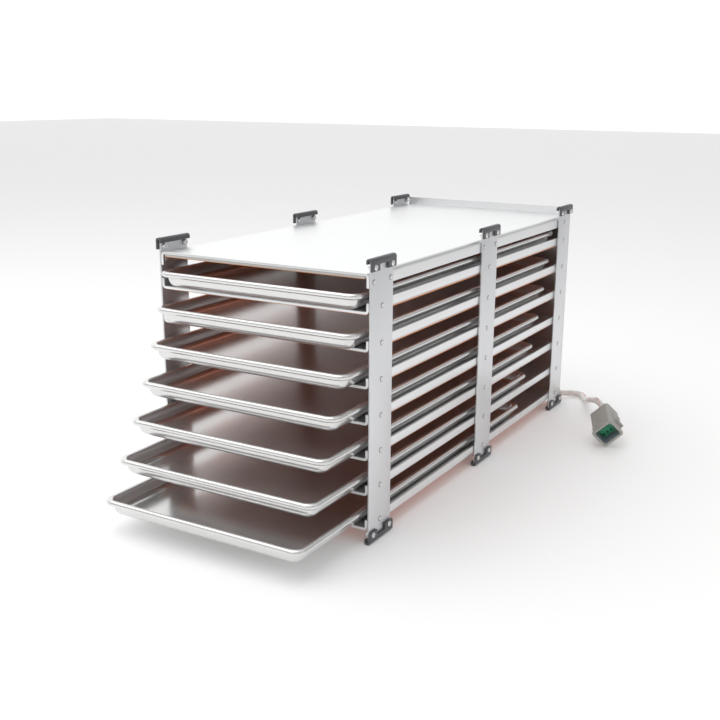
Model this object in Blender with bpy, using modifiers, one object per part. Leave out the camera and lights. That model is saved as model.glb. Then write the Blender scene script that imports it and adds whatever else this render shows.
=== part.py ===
"""Heated shelf rack with seven sheet pans, for Blender 4.5. Metres, +Z up.

Bent aluminium shelves are riveted between six flat uprights. Each shelf has a film heater under it,
and each upright ends in a glide clip at the top and at the bottom. The pans slide out of the front,
towards -Y. A harness runs down the rear right corner to a connector that lies on the floor.

Pieces are placed in the rack's own frame: X is zero at the middle, Y is zero at the front of the
uprights and Z is zero on the floor. One empty, "rack_frame", moves that frame so that the whole
object's box is centred.
"""

import math

import bmesh
import bpy
from mathutils import Euler, Matrix, Vector

# What touches keeps this gap.
GAP = 0.0003

# The rack, measured over its uprights.
RACK_WIDTH = 0.290
RACK_LENGTH = 0.627
SHELF_COUNT = 8
SHELF_PITCH = 0.0413
NUT_TO_SHELF = 0.0027

# Uprights: flat bars, three a side.
UPRIGHTS_A_SIDE = 3
BAR_WIDTH = 0.0486
BAR_THICKNESS = 0.0024

# Shelves: bent sheet.
SHEET = 0.0032
INNER_BEND_RADIUS = 0.0016
BEND_SEGMENTS = 4
TRAY_FLANGE = 0.0126
TOP_FLANGE = 0.0160

# Film heaters under the shelves, each with a sealed terminal at its rear right corner. The top shelf's is a
# thicker panel, flush with the front of its plate.
FILM_THICKNESS = 0.0013
TOP_PANEL_THICKNESS = 0.0028
FILM_END_MARGIN = 0.005
TERMINAL_WIDTH = 0.016
TERMINAL_LENGTH = 0.012
TERMINAL_DEPTH = 0.0030
TERMINAL_TO_TRUNK = 0.023

# Rear panel: a flat sheet behind the shelves, between the left uprights and the harness.
REAR_PANEL = 0.0020
REAR_PANEL_INSET = 0.0028
REAR_PANEL_TO_CLAMP = 0.0005
REAR_PANEL_OVER_TOP = 0.0110
LEAD_HOLE_RADIUS = 0.0028

# Rivets that hold the shelves' flanges to the uprights.
RIVET_SIDES = 6
RIVET_HEAD_RADIUS = 0.0034
RIVET_HEAD_HEIGHT = 0.0009
RIVET_SHANK_RADIUS = 0.0016
RIVET_TAIL_OVERHANG = 0.0007
RIVET_TAIL_HEIGHT = 0.0009
RIVET_OVER_BEND = 0.0021
RIVET_DOWN_TOP = 0.0098
RIVET_TO_BAR_EDGE = 0.0058

# Glide clips on the ends of the uprights.
CLIP_OVERHANG = 0.0027
CLIP_CROWN = 0.0026
CLIP_PLATE = 0.0023
CLIP_LIP_HEIGHT = 0.0062
CLIP_CORNER = 0.0030
CLIP_CORNER_SEGMENTS = 3
CLIP_LEG_WIDTH = 0.01775
CLIP_NOTCH_TOP = 0.0070
LIP_TO_NUT = 0.0005
HEAD_TO_LEG_END = 0.0007
SCREW_HEAD_RADIUS = 0.0033
SCREW_HEAD_HEIGHT = 0.0014
SCREW_RADIUS = 0.0015
NUT_RADIUS = 0.0033
NUT_HEIGHT = 0.0032
SCREW_SIDES = 8

# Sheet pans: rings of the section are insets from the rim's outer edge.
PAN_SIDE_ROOM = 0.0021
PAN_REAR_ROOM = 0.027
PAN_HEIGHT = 0.0200
PAN_SHEET = 0.0010
PAN_RIM_WIDTH = 0.0070
PAN_RIM_DEPTH = 0.0072
PAN_WALL_SLOPE = 0.0040
PAN_FLOOR_RADIUS = 0.0046
PAN_CORNER_RADIUS = 0.0145
PAN_CORNER_SEGMENTS = 4
# How far each pan's front stands out of the rack, from the top pan down.
PAN_OUT = (0.0154, 0.0255, 0.0399, 0.0581, 0.0779, 0.1014, 0.1273)

# Harness at the rear right corner.
TRUNK_RADIUS = 0.0040
TRUNK_BOTTOM = 0.0310
TRUNK_OVER_LEAD = 0.0037
LEAD_RADIUS = 0.0013
CLAMP_WALL = 0.0017
CLAMP_HEIGHT = 0.0080
CLAMP_TAB = 0.0020
CLAMP_TAB_LENGTH = 0.0210
CLAMP_TO_BAR = 0.0016
CLAMP_BEHIND_RACK = 0.0008
CLAMP_TO_LEAD = 0.0050
# The shelves, counted from the floor, above whose flanges the two clamps sit.
CLAMP_SHELVES = (1, 5)
FLANGE_TO_CLAMP = 0.0029

# Connector on the floor, placed from the trunk's foot: local +Y runs from the mouth to the back.
CONNECTOR_MOUTH = (0.1444, -0.1852, 0.0230)
CONNECTOR_TURN = (math.radians(12.4), math.radians(-44.6), math.radians(23.7))
HOUSING_WIDTH = 0.0325
HOUSING_HEIGHT = 0.0280
HOUSING_LENGTH = 0.0550
HOUSING_WALL = 0.0022
MOUTH_DEPTH = 0.0240
MOUTH_LIP = 0.0012
MOUTH_LIP_LENGTH = 0.0030
FLANGE_WIDTH = 0.0415
FLANGE_LENGTH = 0.0030
FLANGE_BACK = 0.0130
PARTITION = 0.0060
WEDGE_LENGTH = 0.0070
WIRE_HOLE = 0.0050
SEAL_OVERHANG = 0.0040
SEAL_CLEARANCE = 0.0003
CABLE_RADIUS = 0.0040
# The cable's route from under the trunk's foot to the connector's back: across, back and height.
CABLE_ROUTE = (
    (0.0000, 0.0000, 0.0275),
    (0.0002, 0.0007, 0.0225),
    (0.0014, 0.0062, 0.0152),
    (0.0038, 0.0162, 0.0098),
    (0.0082, 0.0267, 0.0070),
    (0.0160, 0.0352, 0.0060),
    (0.0270, 0.0374, 0.0058),
    (0.0365, 0.0317, 0.0060),
    (0.0430, 0.0207, 0.0068),
    (0.0485, 0.0072, 0.0088),
    (0.0550, -0.0088, 0.0125),
    (0.0625, -0.0263, 0.0180),
    (0.0710, -0.0443, 0.0245),
    (0.0805, -0.0623, 0.0315),
    (0.0905, -0.0793, 0.0370),
    (0.1015, -0.0958, 0.0402),
)
CABLE_POINTS = 44
LEAD_POINTS = 8

# Worked out from the sizes above.
BAR_OUTER = RACK_WIDTH / 2
BAR_INNER = BAR_OUTER - BAR_THICKNESS
UPRIGHT_PITCH = (RACK_LENGTH - BAR_WIDTH) / (UPRIGHTS_A_SIDE - 1)
BAR_CENTRES = [BAR_WIDTH / 2 + UPRIGHT_PITCH * i for i in range(UPRIGHTS_A_SIDE)]
PAIR_SPREAD = BAR_WIDTH / 2 - RIVET_TO_BAR_EDGE
CLIP_LENGTH = BAR_WIDTH + 2 * CLIP_OVERHANG
CLIP_NOTCH_WIDTH = CLIP_LENGTH - 2 * CLIP_LEG_WIDTH
CLIP_SCREW_DOWN = CLIP_LIP_HEIGHT + LIP_TO_NUT + NUT_RADIUS
CLIP_HEIGHT = CLIP_SCREW_DOWN + SCREW_HEAD_RADIUS + HEAD_TO_LEG_END
LOWEST_SHELF = CLIP_SCREW_DOWN + NUT_RADIUS + NUT_TO_SHELF
SHELF_HALF = BAR_INNER - GAP
BEND_RADIUS = INNER_BEND_RADIUS + SHEET
RIVET_UP_TRAY = BEND_RADIUS + RIVET_OVER_BEND
RIVET_TAIL_RADIUS = RIVET_SHANK_RADIUS + RIVET_TAIL_OVERHANG
TOP_SURFACE = LOWEST_SHELF + SHELF_PITCH * (SHELF_COUNT - 1) + SHEET
BAR_BOTTOM = CLIP_CROWN + GAP
CLIP_OVER_TOP = LOWEST_SHELF - BAR_BOTTOM
BAR_TOP = TOP_SURFACE + CLIP_OVER_TOP
PAN_WIDTH = 2 * (SHELF_HALF - SHEET - PAN_SIDE_ROOM)
PAN_LENGTH = RACK_LENGTH - PAN_REAR_ROOM
CLAMP_RADIUS = TRUNK_RADIUS + GAP + CLAMP_WALL
CLAMP_ABOVE_SHELF = TRAY_FLANGE + FLANGE_TO_CLAMP + CLAMP_HEIGHT / 2
LEAD_BELOW_FILM = TERMINAL_DEPTH / 2
LEAD_UNDER_SHELF = GAP + FILM_THICKNESS + LEAD_BELOW_FILM
LEAD_TO_CLAMP_TOP = SHELF_PITCH - LEAD_UNDER_SHELF - CLAMP_ABOVE_SHELF - CLAMP_HEIGHT / 2
LEAD_DROP = LEAD_TO_CLAMP_TOP - CLAMP_TO_LEAD
TRUNK_X = BAR_INNER - CLAMP_TO_BAR - CLAMP_RADIUS
TRUNK_Y = RACK_LENGTH + CLAMP_BEHIND_RACK + CLAMP_RADIUS
TOP_LEAD = TOP_SURFACE - SHEET - GAP - TOP_PANEL_THICKNESS - LEAD_BELOW_FILM
TRUNK_TOP = TOP_LEAD - LEAD_DROP + TRUNK_OVER_LEAD
TERMINAL_X = TRUNK_X - TERMINAL_TO_TRUNK
MIDDLE_Y = (TRUNK_Y + CLAMP_RADIUS - max(PAN_OUT)) / 2


def clear_scene():
    """Removes what a new file holds."""
    for thing in list(bpy.data.objects):
        bpy.data.objects.remove(thing, do_unlink=True)


def collection(name):
    made = bpy.data.collections.new(name)
    bpy.context.scene.collection.children.link(made)
    return made


def material(name, colour, roughness, metallic):
    """A Principled material; the colour is linear."""
    made = bpy.data.materials.new(name)
    made.use_nodes = True
    shader = made.node_tree.nodes["Principled BSDF"]
    shader.inputs["Base Color"].default_value = (*colour, 1)
    shader.inputs["Roughness"].default_value = roughness
    shader.inputs["Metallic"].default_value = metallic
    made.diffuse_color = (*colour, 1)
    return made


def add(name, mesh, finish, parent, location=(0, 0, 0), rotation=(0, 0, 0)):
    """A named part made from a mesh, placed in its parent's frame."""
    made = bpy.data.objects.new(name, mesh)
    PARTS.objects.link(made)
    made.parent = parent
    made.location = location
    made.rotation_euler = rotation
    if finish and not mesh.materials:
        mesh.materials.append(finish)
    return made


def add_cutter(name, mesh, parent, location=(0, 0, 0), rotation=(0, 0, 0)):
    """A hidden helper for a Boolean."""
    made = bpy.data.objects.new(name, mesh)
    CUTTERS.objects.link(made)
    made.parent = parent
    made.location = location
    made.rotation_euler = rotation
    made.hide_render = True
    made.display_type = "WIRE"
    return made


def boolean(target, other, operation):
    step = target.modifiers.new(operation.lower(), "BOOLEAN")
    step.operation = operation
    step.solver = "EXACT"
    step.object = other


def mesh_from(bm, name):
    mesh = bpy.data.meshes.new(name)
    bm.to_mesh(mesh)
    bm.free()
    return mesh


def box(name, low, high):
    """A box mesh between two corners."""
    low, high = Vector(low), Vector(high)
    bm = bmesh.new()
    size = Matrix.Diagonal((*(high - low), 1))
    bmesh.ops.create_cube(bm, size=1, matrix=Matrix.Translation((low + high) / 2) @ size)
    return mesh_from(bm, name)


def settled(thing):
    """The mesh of an object as its modifiers leave it, with its doubles merged."""
    bpy.context.view_layer.update()
    evaluated = thing.evaluated_get(bpy.context.evaluated_depsgraph_get())
    mesh = bpy.data.meshes.new_from_object(evaluated)
    bm = bmesh.new()
    bm.from_mesh(mesh)
    bmesh.ops.remove_doubles(bm, verts=bm.verts, dist=1e-6)
    bm.to_mesh(mesh)
    bm.free()
    return mesh


def turned(name, profile, sides):
    """A solid of revolution about Z through (radius, height) pairs, from the top down its outer side."""
    mesh = bpy.data.meshes.new(name)
    mesh.from_pydata([(r, 0, z) for r, z in profile], [(i, i + 1) for i in range(len(profile) - 1)], [])
    thing = bpy.data.objects.new(name, mesh)
    CUTTERS.objects.link(thing)
    step = thing.modifiers.new("turn", "SCREW")
    step.steps = step.render_steps = sides
    step.use_merge_vertices = True
    step.merge_threshold = 1e-6
    made = settled(thing)
    bpy.data.objects.remove(thing, do_unlink=True)
    return made


def copies(name, mesh, places):
    """One mesh that holds a copy of a mesh at each of the given matrices."""
    bm = bmesh.new()
    for place in places:
        one = mesh.copy()
        one.transform(place)
        bm.from_mesh(one)
        bpy.data.meshes.remove(one)
    return mesh_from(bm, name)


def slab(name, outline, thickness):
    """A flat outline in XY, thickened by half the thickness to each side of it."""
    curve = bpy.data.curves.new(name, "CURVE")
    curve.dimensions = "2D"
    curve.fill_mode = "BOTH"
    curve.extrude = thickness / 2
    spline = curve.splines.new("POLY")
    spline.points.add(len(outline) - 1)
    for point, (x, y) in zip(spline.points, outline):
        point.co = (x, y, 0, 1)
    spline.use_cyclic_u = True
    thing = bpy.data.objects.new(name, curve)
    CUTTERS.objects.link(thing)
    made = settled(thing)
    bpy.data.objects.remove(thing, do_unlink=True)
    return made


def arc(centre, radius, start, end, segments):
    """Points on an arc, both ends included; angles are in degrees."""
    angles = [math.radians(start + (end - start) * i / segments) for i in range(segments + 1)]
    return [(centre[0] + radius * math.cos(a), centre[1] + radius * math.sin(a)) for a in angles]


def smooth(route, count):
    """Points on one smooth curve through a route (Catmull-Rom), evenly spread by index."""
    route = [Vector(p) for p in route]
    ends = [2 * route[0] - route[1], *route, 2 * route[-1] - route[-2]]
    made = []
    for i in range(count):
        along = i * (len(route) - 1) / (count - 1)
        leg = min(int(along), len(route) - 2)
        t = along - leg
        a, b, c, d = ends[leg : leg + 4]
        made.append(
            0.5 * (2 * b + (c - a) * t + (2 * a - 5 * b + 4 * c - d) * t * t + (3 * b - a - 3 * c + d) * t**3)
        )
    return made


def tube(name, points, radius, finish, parent):
    """A round wire or cable along points, with closed ends."""
    curve = bpy.data.curves.new(name, "CURVE")
    curve.dimensions = "3D"
    curve.bevel_depth = radius
    curve.bevel_resolution = 2
    curve.use_fill_caps = True
    spline = curve.splines.new("POLY")
    spline.points.add(len(points) - 1)
    for point, place in zip(spline.points, points):
        point.co = (*place, 1)
    made = bpy.data.objects.new(name, curve)
    PARTS.objects.link(made)
    made.parent = parent
    curve.materials.append(finish)
    return made


def rivet_places(side):
    """Where each side's rivets are: (upright, shelf, distance along the rack, height)."""
    places = []
    for upright, centre in enumerate(BAR_CENTRES):
        for shelf in range(SHELF_COUNT):
            top = shelf == SHELF_COUNT - 1
            height = TOP_SURFACE - RIVET_DOWN_TOP if top else shelf_bottom(shelf) + RIVET_UP_TRAY
            paired = top and upright < UPRIGHTS_A_SIDE - 1
            for offset in (-PAIR_SPREAD, PAIR_SPREAD) if paired else (0,):
                places.append((upright, shelf, centre + offset, height))
    return places


def shelf_bottom(shelf):
    """Height of a tray shelf's underside; the top shelf's plate has the same pitch."""
    return LOWEST_SHELF + SHELF_PITCH * shelf


def rivet_mesh():
    """Head, shank and tail in one turned solid; Z is zero at the upright's outer face and points out."""
    tail = -(BAR_THICKNESS + GAP + SHEET + GAP)
    sunk = -BAR_THICKNESS / 3
    profile = (
        (0, RIVET_HEAD_HEIGHT),
        (RIVET_HEAD_RADIUS, RIVET_HEAD_HEIGHT),
        (RIVET_HEAD_RADIUS, sunk),
        (RIVET_SHANK_RADIUS, sunk),
        (RIVET_SHANK_RADIUS, tail),
        (RIVET_TAIL_RADIUS, tail),
        (RIVET_TAIL_RADIUS, tail - RIVET_TAIL_HEIGHT),
        (0, tail - RIVET_TAIL_HEIGHT),
    )
    return turned("rivet", profile, RIVET_SIDES)


def drill(radius, length):
    """A round cutter along Z, centred on its middle."""
    end = length / 2
    return turned("drill", ((0, end), (radius, end), (radius, -end), (0, -end)), 8)


def sideways(side, x, y, z):
    """Turns +Z to point out of the rack on that side, at a place on it."""
    return Matrix.Translation((side * x, y, z)) @ Matrix.Rotation(side * math.pi / 2, 4, "Y")


def make_uprights(frame):
    rivet = rivet_mesh()
    hole = drill(SCREW_RADIUS + GAP, 3 * BAR_THICKNESS)
    ends = (BAR_BOTTOM + CLIP_SCREW_DOWN - CLIP_CROWN, BAR_TOP - CLIP_SCREW_DOWN + CLIP_CROWN)
    middle = (BAR_INNER + BAR_OUTER) / 2
    for side, hand in ((-1, "left"), (1, "right")):
        for upright, where in enumerate(("front", "middle", "rear")):
            centre = BAR_CENTRES[upright]
            name = f"upright_{where}_{hand}"
            x = sorted((side * BAR_INNER, side * BAR_OUTER))
            low = (x[0], centre - BAR_WIDTH / 2, BAR_BOTTOM)
            high = (x[1], centre + BAR_WIDTH / 2, BAR_TOP)
            bar = add(name, box(name, low, high), FINISH["upright"], frame)
            rivets = [sideways(side, BAR_OUTER, y, z) for u, _, y, z in rivet_places(side) if u == upright]
            boolean(bar, add_cutter(f"{name}_rivets", copies("rivets", rivet, rivets), frame), "UNION")
            spread = (-PAIR_SPREAD, PAIR_SPREAD)
            screws = [sideways(side, middle, centre + y, z) for y in spread for z in ends]
            boolean(bar, add_cutter(f"{name}_holes", copies("holes", hole, screws), frame), "DIFFERENCE")


def bent_plate(name, flange):
    """A sheet along Y with both long edges bent to +Z; its outer face is at Z zero."""
    right = arc((SHELF_HALF - BEND_RADIUS, BEND_RADIUS), BEND_RADIUS, 270, 360, BEND_SEGMENTS)
    outline = [(-x, z) for x, z in reversed(right)] + right
    outline = [(-SHELF_HALF, flange), *outline, (SHELF_HALF, flange)]
    bm = bmesh.new()
    points = [bm.verts.new((x, 0, z)) for x, z in outline]
    edges = [bm.edges.new(pair) for pair in zip(points, points[1:])]
    swept = bmesh.ops.extrude_edge_only(bm, edges=edges)["geom"]
    moved = [g for g in swept if isinstance(g, bmesh.types.BMVert)]
    bmesh.ops.translate(bm, verts=moved, vec=(0, RACK_LENGTH, 0))
    return mesh_from(bm, name)


def make_shelves(frame):
    tray = bent_plate("tray", TRAY_FLANGE)
    top = bent_plate("top", TOP_FLANGE)
    hole = drill(RIVET_SHANK_RADIUS + GAP, 3 * SHEET)
    for shelf in range(SHELF_COUNT):
        is_top = shelf == SHELF_COUNT - 1
        name = "top_shelf" if is_top else f"tray_shelf_{shelf + 1}"
        place = (0, 0, TOP_SURFACE) if is_top else (0, 0, shelf_bottom(shelf))
        turn = (0, math.pi, 0) if is_top else (0, 0, 0)
        plate = add(name, top if is_top else tray, FINISH["shelf"], frame, place, turn)
        wall = plate.modifiers.new("wall", "SOLIDIFY")
        wall.thickness = SHEET
        wall.offset = -1
        wall.use_even_offset = True
        across = SHELF_HALF - SHEET / 2
        holes = [
            sideways(side, across, y, z)
            for side in (-1, 1)
            for _, s, y, z in rivet_places(side)
            if s == shelf
        ]
        boolean(plate, add_cutter(f"{name}_holes", copies("holes", hole, holes), frame), "DIFFERENCE")


def make_rear_panel(frame):
    """A plate behind the shelves, a little taller than them. All but the lowest lead pass through it."""
    front = RACK_LENGTH + GAP
    low = (REAR_PANEL_INSET - SHELF_HALF, front, LOWEST_SHELF + SHEET / 2)
    right = TRUNK_X - CLAMP_RADIUS - REAR_PANEL_TO_CLAMP
    high = (right, front + REAR_PANEL, TOP_SURFACE + REAR_PANEL_OVER_TOP)
    panel = add("rear_panel", box("rear_panel", low, high), FINISH["shelf"], frame)
    hole = drill(LEAD_HOLE_RADIUS, 3 * REAR_PANEL)
    backwards = Matrix.Rotation(math.radians(90), 4, "X")
    middle = front + REAR_PANEL / 2
    heights = [film_bottom(shelf) - LEAD_BELOW_FILM for shelf in range(1, SHELF_COUNT)]
    places = [Matrix.Translation((TERMINAL_X, middle, height)) @ backwards for height in heights]
    boolean(panel, add_cutter("rear_panel_holes", copies("holes", hole, places), frame), "DIFFERENCE")


def make_films(frame):
    half = SHELF_HALF - BEND_RADIUS
    rear = RACK_LENGTH - FILM_END_MARGIN
    terminal_half = TERMINAL_WIDTH / 2
    terminal = (TERMINAL_X - terminal_half, rear - TERMINAL_LENGTH), (TERMINAL_X + terminal_half, rear)
    for shelf in range(SHELF_COUNT):
        top, bottom = film_top(shelf), film_bottom(shelf)
        name = f"film_heater_{shelf + 1}"
        front = 0 if shelf == SHELF_COUNT - 1 else FILM_END_MARGIN
        low, high = (-half, front, bottom), (half, rear, top)
        film = add(name, box(name, low, high), FINISH["film"], frame)
        patch = box("terminal", (*terminal[0], bottom - TERMINAL_DEPTH), (*terminal[1], (top + bottom) / 2))
        boolean(film, add_cutter(f"{name}_terminal", patch, frame), "UNION")


def film_top(shelf):
    """Height of the upper face of a shelf's film, just under its plate."""
    return shelf_bottom(shelf) - GAP


def film_bottom(shelf):
    return film_top(shelf) - (TOP_PANEL_THICKNESS if shelf == SHELF_COUNT - 1 else FILM_THICKNESS)


def clip_mesh():
    """A hook over the end of an upright. X is zero on the upright's outer face, Z on the upright's end."""
    crown = GAP + CLIP_CROWN
    outer, inner = GAP + CLIP_PLATE, -(BAR_THICKNESS + GAP + CLIP_PLATE)
    leg = crown - CLIP_HEIGHT
    lip = crown - CLIP_LIP_HEIGHT
    high = crown - CLIP_CORNER
    outline = [(GAP, leg), (outer, leg)]
    outline += arc((outer - CLIP_CORNER, high), CLIP_CORNER, 0, 90, CLIP_CORNER_SEGMENTS)
    outline += arc((inner + CLIP_CORNER, high), CLIP_CORNER, 90, 180, CLIP_CORNER_SEGMENTS)
    outline += [(inner, lip), (inner + CLIP_PLATE, lip), (inner + CLIP_PLATE, GAP), (GAP, GAP)]
    return slab("clip", outline, CLIP_LENGTH)


def clip_screw():
    """Screw and nut in one turned solid; Z is zero on the clip's outer face and points out."""
    nut = -(CLIP_PLATE + GAP + BAR_THICKNESS + GAP)
    sunk = -CLIP_PLATE / 2
    profile = (
        (0, SCREW_HEAD_HEIGHT),
        (SCREW_HEAD_RADIUS, SCREW_HEAD_HEIGHT),
        (SCREW_HEAD_RADIUS, sunk),
        (SCREW_RADIUS, sunk),
        (SCREW_RADIUS, nut),
        (NUT_RADIUS, nut),
        (NUT_RADIUS, nut - NUT_HEIGHT),
        (0, nut - NUT_HEIGHT),
    )
    return turned("screw", profile, SCREW_SIDES)


def make_clips(frame):
    """One clip, made once and turned to fit each end of each upright."""
    body = clip_mesh()
    body.transform(Matrix.Rotation(math.pi / 2, 4, "X"))
    crown = GAP + CLIP_CROWN
    outer = GAP + CLIP_PLATE
    screws = [
        Matrix.Translation((outer, y, crown - CLIP_SCREW_DOWN)) @ Matrix.Rotation(math.pi / 2, 4, "Y")
        for y in (-PAIR_SPREAD, PAIR_SPREAD)
    ]
    plain = add_cutter("clip_body", body, None)
    notch = box(
        "notch",
        (GAP / 2, -CLIP_NOTCH_WIDTH / 2, crown - 2 * CLIP_HEIGHT),
        (2 * outer, CLIP_NOTCH_WIDTH / 2, crown - CLIP_NOTCH_TOP),
    )
    notch_cutter = add_cutter("clip_notch", notch, None)
    screw_tool = add_cutter("clip_screws", copies("screws", clip_screw(), screws), None)
    boolean(plain, notch_cutter, "DIFFERENCE")
    boolean(plain, screw_tool, "UNION")
    shape = settled(plain)
    for helper in (plain, notch_cutter, screw_tool):
        bpy.data.objects.remove(helper, do_unlink=True)
    turns = {
        ("top", 1): (0, 0, 0),
        ("top", -1): (0, 0, math.pi),
        ("bottom", 1): (math.pi, 0, 0),
        ("bottom", -1): (0, math.pi, 0),
    }
    for (level, side), turn in turns.items():
        height = BAR_TOP if level == "top" else BAR_BOTTOM
        hand = "right" if side > 0 else "left"
        for where, centre in zip(("front", "middle", "rear"), BAR_CENTRES):
            name = f"glide_clip_{level}_{where}_{hand}"
            add(name, shape, FINISH["clip"], frame, (side * BAR_OUTER, centre, height), turn)


def rounded_ring(bm, inset, height):
    """A ring of vertices: a rectangle with round corners, inset from the rim's outer edge."""
    half_x, half_y = PAN_WIDTH / 2 - inset, PAN_LENGTH / 2 - inset
    radius = PAN_CORNER_RADIUS - inset / 2
    ring = []
    for quarter, (sx, sy) in enumerate(((1, 1), (-1, 1), (-1, -1), (1, -1))):
        centre = (sx * (half_x - radius), sy * (half_y - radius))
        ring += arc(centre, radius, 90 * quarter, 90 * quarter + 90, PAN_CORNER_SEGMENTS)
    return [bm.verts.new((x, y, height)) for x, y in ring]


def pan_mesh():
    """The pan as a loft of rings, up its inside, over the rolled rim and down its outside."""
    wall_top = PAN_HEIGHT - PAN_RIM_DEPTH / 2
    under = PAN_HEIGHT - PAN_RIM_DEPTH
    lean = PAN_RIM_WIDTH + PAN_WALL_SLOPE
    flat = lean + PAN_FLOOR_RADIUS
    bend = PAN_FLOOR_RADIUS * (1 - math.sqrt(0.5))
    bead = PAN_RIM_WIDTH / 4
    section = (
        (flat, PAN_SHEET),
        (lean + bend, PAN_SHEET + bend),
        (lean, PAN_SHEET + PAN_FLOOR_RADIUS),
        (PAN_RIM_WIDTH, wall_top),
        (PAN_RIM_WIDTH - bead, PAN_HEIGHT),
        (bead, PAN_HEIGHT),
        (0, PAN_HEIGHT - bead),
        (0, under + bead),
        (bead, under),
        (PAN_RIM_WIDTH - PAN_SHEET, under),
        (lean - PAN_SHEET, PAN_SHEET + PAN_FLOOR_RADIUS),
        (lean - PAN_SHEET + bend, bend),
        (flat, 0),
    )
    bm = bmesh.new()
    rings = [rounded_ring(bm, inset, height) for inset, height in section]
    for ring, following in zip(rings, rings[1:]):
        for i in range(len(ring)):
            j = (i + 1) % len(ring)
            bm.faces.new((ring[i], ring[j], following[j], following[i]))
    bm.faces.new(rings[0])
    bm.faces.new(rings[-1])
    bmesh.ops.recalc_face_normals(bm, faces=bm.faces)
    return mesh_from(bm, "sheet_pan")


def make_pans(frame):
    """Each pan's origin is on the middle of its floor, on its slide's line."""
    shape = pan_mesh()
    for i, out in enumerate(PAN_OUT):
        floor = shelf_bottom(SHELF_COUNT - 2 - i) + SHEET + GAP
        add(f"sheet_pan_{i + 1}", shape, FINISH["pan"], frame, (0, PAN_LENGTH / 2 - out, floor))


def make_harness(frame):
    straight = [(TRUNK_X, TRUNK_Y, z) for z in (TRUNK_BOTTOM, (TRUNK_BOTTOM + TRUNK_TOP) / 2, TRUNK_TOP)]
    tube("harness_trunk", straight, TRUNK_RADIUS, FINISH["wire"], frame)
    start_y = RACK_LENGTH - FILM_END_MARGIN + GAP
    behind_panel = RACK_LENGTH + GAP + REAR_PANEL
    beside_trunk = TRUNK_X - TRUNK_RADIUS - GAP
    for shelf in range(SHELF_COUNT):
        height = film_bottom(shelf) - LEAD_BELOW_FILM
        end = max(height - LEAD_DROP, TRUNK_BOTTOM + 2 * LEAD_RADIUS)
        route = (
            (TERMINAL_X, start_y, height),
            (TERMINAL_X, behind_panel, height),
            ((2 * TERMINAL_X + beside_trunk) / 3, TRUNK_Y, (2 * height + end) / 3),
            (beside_trunk - 4 * LEAD_RADIUS, TRUNK_Y, end),
            (beside_trunk, TRUNK_Y, end),
        )
        tube(f"heater_lead_{shelf + 1}", smooth(route, LEAD_POINTS), LEAD_RADIUS, FINISH["wire"], frame)
    make_clamps(frame)


def make_clamps(frame):
    """A ring round the trunk with a tab along the inner face of the rear right upright."""
    inner = TRUNK_RADIUS + GAP
    half = CLAMP_HEIGHT / 2
    ring = ((inner, half), (CLAMP_RADIUS, half), (CLAMP_RADIUS, -half), (inner, -half), (inner, half))
    ring_mesh = turned("clamp_ring", ring, 12)
    ring_mesh.transform(Matrix.Rotation(math.radians(90), 4, "Z"))
    for name, shelf in zip(("harness_clamp_lower", "harness_clamp_upper"), CLAMP_SHELVES):
        height = shelf_bottom(shelf) + CLAMP_ABOVE_SHELF
        clamp = add(name, ring_mesh, FINISH["clamp"], frame, (TRUNK_X, TRUNK_Y, height))
        low = (BAR_INNER - GAP - CLAMP_TAB, TRUNK_Y - CLAMP_TAB_LENGTH, height - half)
        high = (BAR_INNER - GAP, TRUNK_Y, height + half)
        tab = add_cutter(f"{name}_tab", box("tab", low, high), frame)
        web_low = (TRUNK_X + inner + CLAMP_WALL / 4, TRUNK_Y - CLAMP_TAB, height - half)
        web = add_cutter(f"{name}_web", box("web", web_low, high), frame)
        boolean(clamp, tab, "UNION")
        boolean(clamp, web, "UNION")


def beside_foot(place):
    """A place given from the trunk's foot, in the rack's frame; its height is from the floor."""
    return Vector((TRUNK_X, TRUNK_Y, 0)) + Vector(place)


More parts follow.
